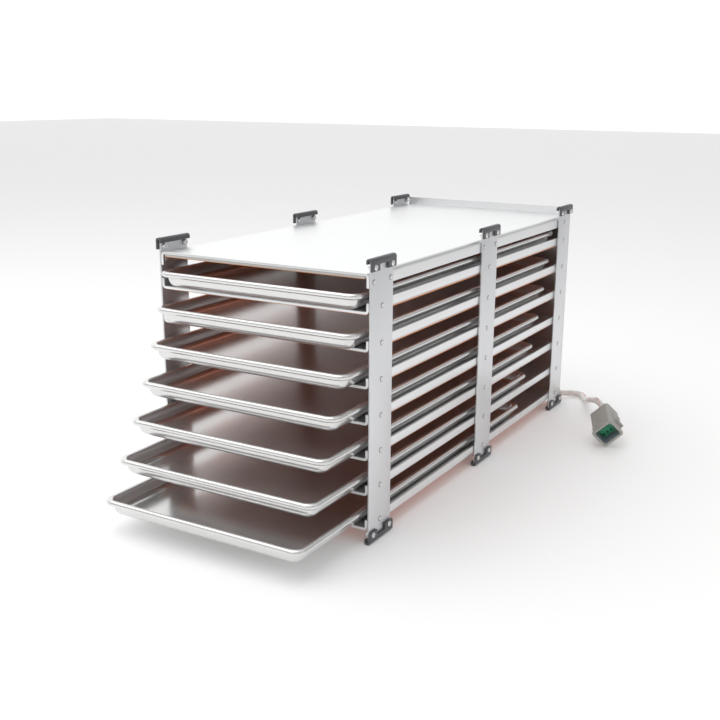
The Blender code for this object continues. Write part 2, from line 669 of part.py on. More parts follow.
def make_connector(frame):
    place = bpy.data.objects.new("connector_frame", None)
    PARTS.objects.link(place)
    place.parent = frame
    place.location = beside_foot(CONNECTOR_MOUTH)
    place.rotation_mode = "YXZ"
    place.rotation_euler = Euler(CONNECTOR_TURN, "YXZ")
    half_w, half_h = HOUSING_WIDTH / 2, HOUSING_HEIGHT / 2
    in_w, in_h = half_w - HOUSING_WALL, half_h - HOUSING_WALL
    shell = box("connector_housing", (-half_w, 0, -half_h), (half_w, HOUSING_LENGTH, half_h))
    housing = add("connector_housing", shell, FINISH["housing"], place)
    lip_w, lip_h = half_w + MOUTH_LIP, half_h + MOUTH_LIP
    lip = box("lip", (-lip_w, -GAP, -lip_h), (lip_w, MOUTH_LIP_LENGTH, lip_h))
    flange_low = (-FLANGE_WIDTH / 2, FLANGE_BACK, -lip_h)
    flange = box("flange", flange_low, (FLANGE_WIDTH / 2, FLANGE_BACK + FLANGE_LENGTH, lip_h))
    mouth = box("mouth", (-in_w, -2 * MOUTH_LIP_LENGTH, -in_h), (in_w, MOUTH_DEPTH, in_h))
    rear_start = MOUTH_DEPTH + PARTITION
    rear = box("rear", (-in_w, rear_start, -in_h), (in_w, 2 * HOUSING_LENGTH, in_h))
    passage = drill(WIRE_HOLE, 4 * PARTITION)
    passage.transform(Matrix.Rotation(math.pi / 2, 4, "X"))
    passage.transform(Matrix.Translation((0, MOUTH_DEPTH + PARTITION / 2, 0)))
    for name, mesh, operation in (
        ("lip", lip, "UNION"),
        ("flange", flange, "UNION"),
        ("mouth", mouth, "DIFFERENCE"),
        ("rear", rear, "DIFFERENCE"),
        ("passage", passage, "DIFFERENCE"),
    ):
        boolean(housing, add_cutter(f"connector_{name}", mesh, place), operation)
    loose_w, loose_h = in_w - SEAL_CLEARANCE, in_h - SEAL_CLEARANCE
    wedge_low = (-loose_w, MOUTH_DEPTH - GAP - WEDGE_LENGTH, -loose_h)
    wedge = box("connector_wedge", wedge_low, (loose_w, MOUTH_DEPTH - GAP, loose_h))
    add("connector_wedge", wedge, FINISH["wedge"], place)
    seal_low = (-loose_w, rear_start + GAP, -loose_h)
    seal_end = HOUSING_LENGTH + SEAL_OVERHANG
    seal = box("connector_seal", seal_low, (loose_w, seal_end, loose_h))
    add("connector_seal", seal, FINISH["seal"], place)
    return seal_end


def make_cable(frame, seal_end):
    """From just under the trunk to just behind the connector's seal, straight out of both for a short way."""
    turn = Euler(CONNECTOR_TURN, "YXZ").to_matrix().to_4x4()
    place = Matrix.Translation(beside_foot(CONNECTOR_MOUTH)) @ turn
    straight_out = [place @ Vector((0, seal_end + GAP + 3 * CABLE_RADIUS * i, 0)) for i in (1.6, 0.8, 0)]
    start = (TRUNK_X, TRUNK_Y, TRUNK_BOTTOM - GAP)
    route = [beside_foot(place) for place in CABLE_ROUTE]
    tube("harness_cable", smooth((start, *route, *straight_out), CABLE_POINTS), CABLE_RADIUS,
         FINISH["wire"], frame)


def main():
    frame = bpy.data.objects.new("rack_frame", None)
    PARTS.objects.link(frame)
    frame.location = (0, -MIDDLE_Y, 0)
    make_uprights(frame)
    make_shelves(frame)
    make_rear_panel(frame)
    make_films(frame)
    make_clips(frame)
    make_pans(frame)
    make_harness(frame)
    make_cable(frame, make_connector(frame))


clear_scene()
PARTS = collection("heated_shelf_rack")
CUTTERS = collection("cutters")
FINISH = {
    "upright": material("brushed bar", (0.62, 0.62, 0.62), 0.40, 1.0),
    "shelf": material("satin sheet", (0.75, 0.75, 0.75), 0.45, 1.0),
    "film": material("copper film", (0.60, 0.22, 0.06), 0.35, 0.2),
    "clip": material("dark grey nylon", (0.10, 0.10, 0.11), 0.55, 0.0),
    "pan": material("pan aluminium", (0.70, 0.69, 0.67), 0.30, 1.0),
    "wire": material("white wire", (0.85, 0.80, 0.78), 0.50, 0.0),
    "clamp": material("clear clamp", (0.70, 0.70, 0.70), 0.50, 0.0),
    "housing": material("grey plastic", (0.38, 0.38, 0.36), 0.50, 0.0),
    "wedge": material("green plastic", (0.05, 0.32, 0.14), 0.45, 0.0),
    "seal": material("seal rubber", (0.25, 0.10, 0.08), 0.60, 0.0),
}
main()
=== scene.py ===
"""Heated shelf rack with seven sheet pans: fine pieces, finishes, stage and camera, for Blender 4.5.

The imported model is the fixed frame. Fine pieces are worked out with numpy as surfaces on it, and most of them
stand for one of its solids. Places come from the frame's boxes, and sizes that a user would change are
properties.
Metres, +Z up; the pans slide out towards -Y.
"""

import math

import bpy
import numpy as np
from bpy.props import FloatProperty, FloatVectorProperty, IntProperty, PointerProperty
from mathutils import Euler, Matrix, Vector


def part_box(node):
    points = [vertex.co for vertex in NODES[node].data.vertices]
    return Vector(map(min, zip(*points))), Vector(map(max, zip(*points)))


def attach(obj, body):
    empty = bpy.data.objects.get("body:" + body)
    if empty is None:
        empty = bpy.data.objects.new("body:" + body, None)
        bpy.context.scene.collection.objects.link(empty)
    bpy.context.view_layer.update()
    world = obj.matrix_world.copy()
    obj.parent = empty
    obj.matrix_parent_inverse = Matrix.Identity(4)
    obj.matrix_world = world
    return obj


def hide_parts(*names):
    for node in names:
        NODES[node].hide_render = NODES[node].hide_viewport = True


bl_info = {
    "name": "Heated shelf rack",
    "version": (1, 0, 0),
    "blender": (4, 5, 0),
    "location": "View3D > Sidebar > Shelf rack",
    "description": "Builds the fine pieces and finishes of a heated shelf rack with sheet pans",
    "category": "Object",
}

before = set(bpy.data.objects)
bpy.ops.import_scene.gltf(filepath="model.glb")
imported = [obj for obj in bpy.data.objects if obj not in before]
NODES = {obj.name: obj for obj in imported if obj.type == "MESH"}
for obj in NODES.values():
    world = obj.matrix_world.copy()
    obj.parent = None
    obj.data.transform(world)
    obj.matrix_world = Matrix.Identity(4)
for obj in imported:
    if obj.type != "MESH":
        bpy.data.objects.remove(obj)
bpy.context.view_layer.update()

# What touches keeps this gap.
GAP = 0.0003
SIDES = (("left", -1), ("right", 1))
PLACES = ("front", "middle", "rear")
TRAYS = range(1, 8)
PANS = range(1, 8)
HEATERS = range(1, 9)

# Read from the frame.
FRONT_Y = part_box("tray_shelf_1")[0].y
REAR_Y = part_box("tray_shelf_1")[1].y
SHELF_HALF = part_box("tray_shelf_1")[1].x
TOP_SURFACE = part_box("top_shelf")[1].z
TRAY_BOTTOMS = [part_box(f"tray_shelf_{tray}")[0].z for tray in TRAYS]
TRAY_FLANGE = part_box("tray_shelf_1")[1].z - TRAY_BOTTOMS[0]
TOP_FLANGE = TOP_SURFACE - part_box("top_shelf")[0].z
BARS = [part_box(f"upright_{place}_right") for place in PLACES]
BAR_CENTRES = [(low.y + high.y) / 2 for low, high in BARS]
BAR_WIDTH = BARS[0][1].y - BARS[0][0].y
BAR_BOTTOM, BAR_TOP = BARS[0][0].z, BARS[0][1].z
BAR_INNER = SHELF_HALF + GAP
TRUNK_LOW, TRUNK_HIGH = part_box("harness_trunk")
TRUNK_X, TRUNK_Y = (TRUNK_LOW.x + TRUNK_HIGH.x) / 2, (TRUNK_LOW.y + TRUNK_HIGH.y) / 2

# The connector's mouth and turn, and the cable's route to its back. A place is given from the trunk's foot.
CONNECTOR_MOUTH = (0.1444, -0.1852, 0.0230)
CONNECTOR_TURN = (math.radians(12.4), math.radians(-44.6), math.radians(23.7))
CABLE_ROUTE = (
    (0.0000, 0.0000, 0.0275),
    (0.0002, 0.0007, 0.0225),
    (0.0014, 0.0062, 0.0152),
    (0.0038, 0.0162, 0.0098),
    (0.0082, 0.0267, 0.0070),
    (0.0160, 0.0352, 0.0060),
    (0.0270, 0.0374, 0.0058),
    (0.0365, 0.0317, 0.0060),
    (0.0430, 0.0207, 0.0068),
    (0.0485, 0.0072, 0.0088),
    (0.0550, -0.0088, 0.0125),
    (0.0625, -0.0263, 0.0180),
    (0.0710, -0.0443, 0.0245),
    (0.0805, -0.0623, 0.0315),
    (0.0905, -0.0793, 0.0370),
    (0.1015, -0.0958, 0.0402),
)

# The camera looks from the front right, a little above the rack.
CAMERA_PLACE = (0.66242, -1.16400, 0.49481)
CAMERA_AZIMUTH = math.radians(30.302)
CAMERA_ELEVATION = math.radians(14.984)
CAMERA_ROLL = math.radians(0.356)
CAMERA_LENS = 50.52
CAMERA_SENSOR = 36.0

# The world is dimmer round each of these directions, down to the share beside it.
DIM_SIDES = (((0.900, 0.420, 0.116), 0.36), ((-0.100, -0.860, 0.500), 0.45))
WORLD_STRENGTH = 1.14


def length_property(name, default, description):
    options = {"min": 0, "unit": "LENGTH", "precision": 4}
    return FloatProperty(name=name, description=description, default=default, **options)


def count_property(name, default, description):
    return IntProperty(name=name, description=description, default=default, min=3, max=200)


def colour_property(name, default, description):
    options = {"subtype": "COLOR", "min": 0, "max": 1}
    return FloatVectorProperty(name=name, description=description, default=default, **options)


def properties(**rows):
    """A colour, a count or a length for each row of default and description, named after its key."""
    kinds = {tuple: colour_property, int: count_property, float: length_property}
    return {key: kinds[type(row[0])](key.replace("_", " ").capitalize(), *row) for key, row in rows.items()}


class RackSizes(bpy.types.PropertyGroup):
    __annotations__ = properties(
        bar_thickness=(0.0024, "Thickness of the flat uprights"),
        sheet=(0.0032, "Thickness of the shelves' sheet"),
        bend_radius=(0.0048, "Outer radius of the shelves' bends"),
        edge=(0.0004, "Radius of the bars' and shelves' cut edges"),
        panel_thickness=(0.0024, "Thickness of the board under the top plate"),
        film_thickness=(0.0013, "Thickness of a film heater"),
    )


class FastenerSizes(bpy.types.PropertyGroup):
    __annotations__ = properties(
        head_radius=(0.0034, "Radius of a rivet's head"),
        head_height=(0.0009, "Height of a rivet's head"),
        tail_radius=(0.0023, "Radius of a rivet's tail inside the flange"),
        tail_height=(0.0009, "Height of a rivet's tail"),
        up_tray=(0.0069, "Height of a rivet over a tray's underside"),
        down_top=(0.0098, "Depth of a rivet under the top plate's surface"),
        pair_spread=(0.0185, "Half the distance between paired fasteners"),
        screw_radius=(0.0033, "Radius of a clip screw's head"),
        screw_height=(0.0014, "Height of a clip screw's head"),
        nut_radius=(0.0033, "Radius of a clip screw's nut"),
        nut_height=(0.0032, "Height of a clip screw's nut"),
    )


class ClipSizes(bpy.types.PropertyGroup):
    __annotations__ = properties(
        length=(0.054, "Length of a glide clip along the rack"),
        height=(0.0140, "Height of a clip's outer plate"),
        crown=(0.0026, "Thickness of the clip over the end of the upright"),
        plate=(0.0023, "Thickness of the clip's plate and lip"),
        lip_height=(0.0062, "Height of the inner lip"),
        corner=(0.0030, "Radius of the crown's corners"),
        notch_width=(0.0185, "Width of the notch between the legs"),
        notch_top=(0.0070, "Height of the plate over the notch"),
        screw_down=(0.0100, "Depth of the screws under the crown's top"),
        edge=(0.0005, "Radius of the clip's moulded edges"),
    )


class PanSizes(bpy.types.PropertyGroup):
    __annotations__ = properties(
        sheet=(0.0010, "Thickness of a pan's sheet"),
        bead=(0.0070, "Diameter of the rolled rim"),
        wall_slope=(0.0018, "How far the wall leans in from the rim to the floor"),
        floor_radius=(0.0085, "Radius between the wall and the floor"),
        corner_radius=(0.0145, "Radius of a pan's corners at the rim"),
        corner_steps=(14, "Faces round a corner"),
    )


class HarnessSizes(bpy.types.PropertyGroup):
    __annotations__ = properties(
        cable_radius=(0.0040, "Radius of the bundle of wires"),
        wire_radius=(0.00095, "Radius of one wire in the bundle"),
        lead_radius=(0.0013, "Radius round a heater's pair of wires"),
        twist_pitch=(0.120, "Length of one turn of the bundle"),
        cable_points=(110, "Sections along the cable"),
    )


class ConnectorSizes(bpy.types.PropertyGroup):
    __annotations__ = properties(
        width=(0.0325, "Width of the housing"),
        height=(0.0280, "Height of the housing"),
        length=(0.0550, "Length of the housing"),
        wall=(0.0022, "Thickness of the housing's wall"),
        mouth_depth=(0.0240, "Depth of the mouth"),
        partition=(0.0060, "Thickness of the wall behind the mouth"),
        lip=(0.0012, "How far the mouth's collar stands out"),
        flange_width=(0.0415, "Width over the side ears"),
        seal_overhang=(0.0040, "How far the seal stands out of the back"),
    )


class FinishColours(bpy.types.PropertyGroup):
    __annotations__ = properties(
        upright=((0.77, 0.775, 0.79), "Brushed aluminium bars"),
        shelf=((0.85, 0.855, 0.86), "Satin aluminium sheet"),
        pan=((0.78, 0.775, 0.77), "Brushed pan aluminium"),
        rivet=((0.82, 0.82, 0.82), "Bright rivets, screws and nuts"),
        clip=((0.095, 0.096, 0.104), "Dark grey nylon"),
        film=((0.62, 0.20, 0.11), "Amber film over the heater's tracks"),
        # The edge's brighter orange is painted light: the film's edge as lit by light bounced off the floor.
        film_edge=((0.95, 0.34, 0.09), "Cut edge of the amber film"),
        panel=((0.55, 0.53, 0.50), "Board under the top plate"),
        wire=((0.88, 0.86, 0.84), "White wire"),
        wire_tint=((0.88, 0.66, 0.62), "Pinkish wire"),
        housing=((0.40, 0.39, 0.36), "Warm grey connector plastic"),
        wedge=((0.05, 0.40, 0.20), "Green wedge in the mouth"),
        seal=((0.42, 0.10, 0.06), "Silicone seal and terminal covers"),
    )


class ShelfRack(bpy.types.PropertyGroup):
    rack: PointerProperty(type=RackSizes)
    fasteners: PointerProperty(type=FastenerSizes)
    clip: PointerProperty(type=ClipSizes)
    pan: PointerProperty(type=PanSizes)
    harness: PointerProperty(type=HarnessSizes)
    connector: PointerProperty(type=ConnectorSizes)
    colours: PointerProperty(type=FinishColours)


def add_object(name, data):
    """A new object in the scene."""
    made = bpy.data.objects.new(name, data)
    bpy.context.scene.collection.objects.link(made)
    return made


def settings():
    return bpy.context.scene.shelf_rack


# Surfaces. A shell is (points, blocks of faces); each block's faces have equally many corners.


def outward(points, blocks):
    """The shell with its faces turned out: the sum of its tetrahedra over the origin has to be positive."""
    volume = 0.0
    for block in blocks:
        first = points[block[:, 0]]
        for i in range(1, block.shape[1] - 1):
            normal = np.cross(points[block[:, i]], points[block[:, i + 1]])
            volume += np.einsum("ij,ij->i", first, normal).sum()
    return (points, blocks) if volume > 0 else (points, [block[:, ::-1] for block in blocks])


def loft(rings, wrap=False):
    """Quads between neighbouring rings; the first and last are capped, or joined where it wraps."""
    rings = np.asarray(rings, float)
    count, size = rings.shape[:2]
    ids = np.arange(count * size).reshape(count, size)
    ahead = np.roll(ids, -1, axis=1)
    if wrap:
        quads = np.stack((ids, ahead, np.roll(ahead, -1, axis=0), np.roll(ids, -1, axis=0)), axis=-1)
        blocks = [quads.reshape(-1, 4)]
    else:
        quads = np.stack((ids[:-1], ahead[:-1], ahead[1:], ids[1:]), axis=-1)
        blocks = [quads.reshape(-1, 4), ids[:1, ::-1], ids[-1:]]
    return outward(rings.reshape(-1, 3), blocks)


def placed(shell, matrix):
    """The shell moved by a 4 by 4 matrix."""
    points, blocks = shell
    m = np.array(matrix, float)
    return outward(points @ m[:3, :3].T + m[:3, 3], blocks)


def copies(shell, matrices):
    """One shell with a copy at each matrix."""
    points, blocks = shell
    m = np.array([np.array(matrix, float) for matrix in matrices])
    moved = np.einsum("kij,nj->kni", m[:, :3, :3], points) + m[:, None, :3, 3]
    steps = np.arange(len(m))[:, None, None] * len(points)
    return moved.reshape(-1, 3), [(block[None] + steps).reshape(-1, block.shape[1]) for block in blocks]


def mesh_of(name, shells, sharp=35):
    """A mesh of shells, smooth but for edges sharper than that many degrees."""
    points = np.concatenate([shell[0] for shell in shells])
    corners, sizes, base = [], [], 0
    for own, blocks in shells:
        for block in blocks:
            corners.append((block + base).ravel())
            sizes.append(np.full(len(block), block.shape[1]))
        base += len(own)
    corners, sizes = np.concatenate(corners), np.concatenate(sizes)
    mesh = bpy.data.meshes.new(name)
    mesh.vertices.add(len(points))
    mesh.vertices.foreach_set("co", points.ravel())
    mesh.loops.add(len(corners))
    mesh.loops.foreach_set("vertex_index", corners.astype(np.int32))
    mesh.polygons.add(len(sizes))
    mesh.polygons.foreach_set("loop_start", (np.cumsum(sizes) - sizes).astype(np.int32))
    mesh.update(calc_edges=True)
    mesh.validate()
    mesh.polygons.foreach_set("use_smooth", np.ones(len(sizes), bool))
    mesh.set_sharp_from_angle(angle=math.radians(sharp))
    return mesh


def piece(name, shells, finish, body="rack", stands_for=(), sharp=35):
    """A piece made of shells, or of a mesh, that rides on its body and stands for its nodes."""
    mesh = shells if isinstance(shells, bpy.types.Mesh) else mesh_of(name, shells, sharp)
    made = add_object(name, mesh)
    if not mesh.materials:
        mesh.materials.append(finish)
    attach(made, body)
    if stands_for:
        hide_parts(*stands_for)
    return made


def paint_node(node, finish):
    """Gives a solid of the frame that stays in view its finish."""
    NODES[node].data.materials.clear()
    NODES[node].data.materials.append(finishes()[finish])


def rounded_rectangle(half_x, half_y, radius, steps):
    """Points of a rectangle with round corners, anticlockwise; arrays of sizes give arrays of rings."""
    half_x, half_y, radius = (np.asarray(v, float)[..., None, None] for v in (half_x, half_y, radius))
    angle = np.linspace(0, np.pi / 2, steps + 1) + np.arange(4)[:, None] * np.pi / 2
    x = np.array([1, -1, -1, 1])[:, None] * (half_x - radius) + radius * np.cos(angle)
    y = np.array([1, 1, -1, -1])[:, None] * (half_y - radius) + radius * np.sin(angle)
    rings = np.stack((x, y), axis=-1)
    return rings.reshape(*rings.shape[:-3], -1, 2)


def rounded_box(low, high, edge, corner=0.0, steps=3):
    """A box with round edges: rounded rectangles along Z, drawn in by a quarter circle at both ends."""
    low, high = np.array(low, float), np.array(high, float)
    half, middle = (high - low) / 2, (high + low) / 2
    edge = min(edge, 0.49 * half.min())
    corner = min(max(corner, 1.5 * edge), 0.98 * half[:2].min())
    angle = np.linspace(0, np.pi / 2, steps + 1)
    inset = edge * (1 - np.sin(angle))
    rise = edge * (1 - np.cos(angle))
    inset = np.concatenate((inset, inset[::-1]))
    height = np.concatenate((rise - half[2], half[2] - rise[::-1]))
    ring = rounded_rectangle(half[0] - inset, half[1] - inset, corner - inset, steps)
    levels = np.broadcast_to(height[:, None, None], (*ring.shape[:2], 1))
    return loft(np.concatenate((ring, levels), axis=-1) + middle)


def turned(profile, sides):
    """A solid of revolution about Z through (radius, height) pairs, with flat ends."""
    profile = np.array(profile, float)
    angle = np.linspace(0, 2 * np.pi, sides, endpoint=False)
    x = profile[:, :1] * np.cos(angle)
    y = profile[:, :1] * np.sin(angle)
    z = np.broadcast_to(profile[:, 1:], x.shape)
    return loft(np.stack((x, y, z), axis=-1))


def arc(centre, radius, start, end, steps):
    """Points on an arc, both ends included; angles are in degrees."""
    angle = np.radians(np.linspace(start, end, steps + 1))
    return np.stack((centre[0] + radius * np.cos(angle), centre[1] + radius * np.sin(angle)), axis=-1)


def smooth_route(route, count):
    """Points on one Catmull-Rom curve through a route, evenly spread by index."""
    route = np.array(route, float)
    ends = np.concatenate(([2 * route[0] - route[1]], route, [2 * route[-1] - route[-2]]))
    along = np.linspace(0, len(route) - 1, count)
    leg = np.minimum(along.astype(int), len(route) - 2)
    t = (along - leg)[:, None]
    a, b, c, d = (ends[leg + i] for i in range(4))
    return 0.5 * (2 * b + (c - a) * t + (2 * a - 5 * b + 4 * c - d) * t**2 + (3 * b - a - 3 * c + d) * t**3)


def cross_frames(path):
    """Two unit vectors across a path at each point, carried along it without twist."""
    tangent = np.gradient(path, axis=0)
    tangent /= np.linalg.norm(tangent, axis=1, keepdims=True)
    across = np.zeros_like(tangent)
    side = np.cross(tangent[0], (0.31, 0.52, 0.79))
    for i, along in enumerate(tangent):
        side = side - along * (side @ along)
        side = side / np.linalg.norm(side)
        across[i] = side
    return across, np.cross(tangent, across)


def tube(path, radius, sides, frames=None):
    """A round tube along a path, with flat ends: circles of that radius in the planes across it."""
    first, second = frames or cross_frames(path)
    angle = np.linspace(0, 2 * np.pi, sides, endpoint=False)[None, :, None]
    radius = np.broadcast_to(np.asarray(radius, float), (len(path),))[:, None, None]
    ring = radius * (np.cos(angle) * first[:, None] + np.sin(angle) * second[:, None])
    return loft(path[:, None] + ring)


def wire_bundle(path, layers, wire_radius, pitch, sides, spread=1.0):
    """Wires laid round a path, each at its layer's distance from it, that turn once about it in each pitch.

    The distance swells and shrinks gently along the path, so that the bundle looks loose."""
    frames = cross_frames(path)
    steps = np.linalg.norm(np.diff(path, axis=0), axis=1)
    along = np.concatenate(([0], np.cumsum(steps)))
    shells = []
    number = 0
    for distance, count in layers:
        for i in range(count):
            number += 1
            swell = np.sin(along * 2 * np.pi / (0.045 + 0.007 * number) + 1.7 * number)
            wander = 1 - 0.10 * spread * (1 + swell)
            angle = 2 * np.pi * (i / count + along / pitch) + 0.25 * spread * np.sin(along * 90 + number)
            offset = np.cos(angle)[:, None] * frames[0] + np.sin(angle)[:, None] * frames[1]
            shells.append(tube(path + distance * wander[:, None] * offset, wire_radius, sides, frames))
    return shells


def tint_shells(mesh, shells, values, name="tint"):
    """Stores one value for each shell's points on the mesh."""
    made = mesh.attributes.new(name, "FLOAT", "POINT")
    made.data.foreach_set("value", np.repeat(values, [len(shell[0]) for shell in shells]).astype(np.float32))


def side_matrix(side, x, y, z):
    """Turns +Z to point out of the rack on a side, at a place on it."""
    return Matrix.Translation((side * x, y, z)) @ Matrix.Rotation(side * math.pi / 2, 4, "Y")


# Materials.


class Socket:
    """A shader socket that can stand in sums: each operator adds a Math node."""

    def __init__(self, maker, output):
        self.maker = maker
        self.output = output

    def maths(self, operation, *values):
        return self.maker.node("ShaderNodeMath", {"operation": operation}, dict(enumerate(values)))

    def __add__(self, other):
        return self.maths("ADD", self, other)

    def __mul__(self, other):
        return self.maths("MULTIPLY", self, other)

    __radd__ = __add__
    __rmul__ = __mul__


class Finish:
    """A material being made, with one method that adds any node."""

    def __init__(self, name, constants):
        self.material = bpy.data.materials.new(name)
        self.material.use_nodes = True
        self.tree = self.material.node_tree
        self.shader = self.tree.nodes["Principled BSDF"]
        for socket, value in constants.items():
            self.shader.inputs[socket].default_value = value

    def node(self, kind, options=None, inputs=None, output=0):
        """Adds a node with its options and the values or links of its sockets; gives one of its outputs."""
        made = self.tree.nodes.new(kind)
        for key, value in (options or {}).items():
            if key == "stops":
                self.set_stops(made.color_ramp, value)
            else:
                setattr(made, key, value)
        for key, value in (inputs or {}).items():
            if isinstance(value, Socket):
                self.tree.links.new(value.output, made.inputs[key])
            else:
                made.inputs[key].default_value = value
        return Socket(self, made.outputs[output])

    @staticmethod
    def set_stops(ramp, stops):
        while len(ramp.elements) < len(stops):
            ramp.elements.new(1)
        for element, (position, shade) in zip(ramp.elements, stops):
            element.position = position
            element.color = (shade, shade, shade, 1)

    def place(self, scale=(1, 1, 1), turn=(0, 0, 0)):
        """Object coordinates, turned and scaled."""
        coordinates = self.node("ShaderNodeTexCoord", output="Object")
        inputs = {"Vector": coordinates, "Scale": scale, "Rotation": turn}
        return self.node("ShaderNodeMapping", inputs=inputs)

    def noise(self, place, scale, detail=3, roughness=0.6):
        inputs = {"Vector": place, "Scale": scale, "Detail": detail, "Roughness": roughness}
        return self.node("ShaderNodeTexNoise", inputs=inputs)

    def ramp(self, value, *stops):
        return self.node("ShaderNodeValToRGB", {"stops": stops}, {"Fac": value})

    def mix(self, share, low, high):
        """A colour between two."""
        inputs = {0: share, 6: low if isinstance(low, Socket) else (*low, 1)}
        inputs[7] = high if isinstance(high, Socket) else (*high, 1)
        return self.node("ShaderNodeMix", {"data_type": "RGBA"}, inputs, output=2)

    def attribute(self, name):
        return self.node("ShaderNodeAttribute", {"attribute_name": name}, output="Fac")

    def feed(self, socket, value):
        self.tree.links.new(value.output, self.shader.inputs[socket])

    def bump(self, height, strength, distance):
        inputs = {"Height": height, "Strength": strength, "Distance": distance}
        self.feed("Normal", self.node("ShaderNodeBump", inputs=inputs))


def scaled(colour, factor):
    return tuple(min(1.0, c * factor) for c in colour)


def brushed_metal(name, colour, roughness, stretch, depth, clouds=0.06, metallic=1.0):
    """Satin metal: fine streaks drawn out along one axis, faint handling marks and a few long scratches."""
    finish = Finish(name, {"Metallic": metallic})
    fine = finish.noise(finish.place(stretch), 1.0, 4, 0.65)
    coarse = finish.noise(finish.place(tuple(s * 0.23 for s in stretch)), 1.0, 2)
    marks = finish.noise(finish.place(), 14.0, 3)
    scratches = finish.noise(finish.place(tuple(s * 0.55 for s in stretch)), 1.0, 1)
    scratch = finish.ramp(scratches, (0.70, 0), (0.74, 1))
    streaks = fine * 0.65 + coarse * 0.35
    shade = streaks * 0.7 + marks * 0.3
    finish.feed("Base Color", finish.mix(shade, scaled(colour, 0.94), scaled(colour, 1.06)))
    spread = 0.4 * clouds + 0.04
    base = roughness - spread / 2 - clouds
    finish.feed("Roughness", streaks * spread + marks * (2 * clouds) + scratch * 0.04 + base)
    finish.bump(streaks + scratch * 0.4, depth, 0.0003)
    return finish.material


def rivet_finish(colours):
    """Bright metal; a rivet head's rim, marked on the mesh, is dull and painted darker: painted shade for the
    shadow line round the head.
    """
    finish = Finish("fastener_bright", {"Metallic": 1.0})
    clouds = finish.noise(finish.place(), 400.0, 3)
    bright = finish.mix(clouds, scaled(colours.rivet, 0.94), scaled(colours.rivet, 1.06))
    rim = finish.attribute("rim")
    # The rim's darker colour is painted shade, a shadow line round the head's edge.
    finish.feed("Base Color", finish.mix(rim, bright, scaled(colours.rivet, 0.50)))
    finish.feed("Roughness", clouds * 0.08 + rim * 0.18 + 0.20)
    finish.bump(clouds, 0.05, 0.0003)
    return finish.material


def moulded_plastic(name, colour, roughness, grain, spread=0.12):
    """Moulded plastic: clouds of shade, a fine grain and rubbed patches that are smoother."""
    finish = Finish(name, {})
    clouds = finish.noise(finish.place(), 60.0, 4)
    speckle = finish.noise(finish.place(), grain, 2)
    shade = clouds * 0.6 + speckle * 0.4
    finish.feed("Base Color", finish.mix(shade, scaled(colour, 1 - spread), scaled(colour, 1 + spread)))
    finish.feed("Roughness", speckle * 0.15 + clouds * 0.12 + (roughness - 0.13))
    finish.bump(speckle, 0.18, 0.0003)
    return finish.material


# Distance between the heater's tracks.
TRACK_PITCH = 0.009


def film_finish(colours):
    """Amber film: etched heater tracks show through its face, and its cut edge is painted a brighter orange, a
    painted highlight for the edge lit by light bounced off the floor.
    """
    finish = Finish("amber_film", {"Coat Weight": 0.35, "Coat Roughness": 0.12})
    place = finish.place()
    split = finish.node("ShaderNodeSeparateXYZ", inputs={0: place}, output=0)
    turns = split * (2 * math.pi / TRACK_PITCH)
    wave = turns.maths("COSINE", turns)
    track = finish.ramp(wave, (0.25, 0), (0.40, 1))
    clouds = finish.noise(place, 22.0, 4)
    face = finish.mix(track * 0.55 + clouds * 0.25, scaled(colours.film, 0.7), scaled(colours.film, 1.7))
    # Painted highlight: the sideways cut edges get the brighter orange.
    edge = finish.mix(clouds, scaled(colours.film_edge, 0.85), scaled(colours.film_edge, 1.1))
    finish.feed("Base Color", finish.mix(finish.attribute("cut_edge"), face, edge))
    finish.feed("Roughness", clouds * 0.15 + 0.28)
    finish.bump(track + clouds * 0.3, 0.25, 0.0002)
    return finish.material


def wire_finish(colours):
    """Smooth wire insulation; the tinted wires are marked on the mesh."""
    finish = Finish("wire_white", {"Coat Weight": 0.25, "Subsurface Weight": 0.15, "Subsurface Scale": 0.002})
    clouds = finish.noise(finish.place(), 90.0, 3)
    white = finish.mix(clouds, scaled(colours.wire, 0.94), scaled(colours.wire, 1.04))
    finish.feed("Base Color", finish.mix(finish.attribute("tint"), white, tuple(colours.wire_tint)))
    finish.feed("Roughness", clouds * 0.14 + 0.30)
    finish.bump(clouds, 0.06, 0.0002)
    return finish.material


def finishes():
    """Each finish by name, made once."""
    if not FINISHES:
        colours = settings().colours
        FINISHES.update(
            {
                "upright": brushed_metal("upright_brushed", colours.upright, 0.42, (900, 900, 40), 0.10),
                "shelf": brushed_metal("shelf_satin", colours.shelf, 0.40, (900, 30, 900), 0.07),
                "pan": brushed_metal("pan_brushed", colours.pan, 0.19, (1100, 26, 1100), 0.02, 0.015, 0.75),
                "rivet": rivet_finish(colours),
                "clip": moulded_plastic("clip_nylon", colours.clip, 0.46, 1400, 0.40),
                "panel": moulded_plastic("panel_board", colours.panel, 0.60, 900),
                "film": film_finish(colours),
                "wire": wire_finish(colours),
                "clamp": moulded_plastic("clamp_nylon", (0.70, 0.70, 0.68), 0.40, 900, 0.05),
                "housing": moulded_plastic("housing_plastic", colours.housing, 0.46, 1100, 0.08),
                # A darker grey for the mouth's inner walls: painted shade inside the mouth.
                "inside": moulded_plastic("housing_mouth_shade", (0.25, 0.28, 0.31), 0.45, 1100, 0.10),
                "wedge": moulded_plastic("wedge_plastic", colours.wedge, 0.40, 900, 0.10),
                # Near-black painted shade for the wedge's pin holes.
                "pin_hole_shade": moulded_plastic("pin_hole_painted_shade", (0.012, 0.016, 0.016), 0.6, 900),
                "seal": moulded_plastic("seal_silicone", colours.seal, 0.55, 700),
            }
        )
    return FINISHES


FINISHES = {}


# Pieces.


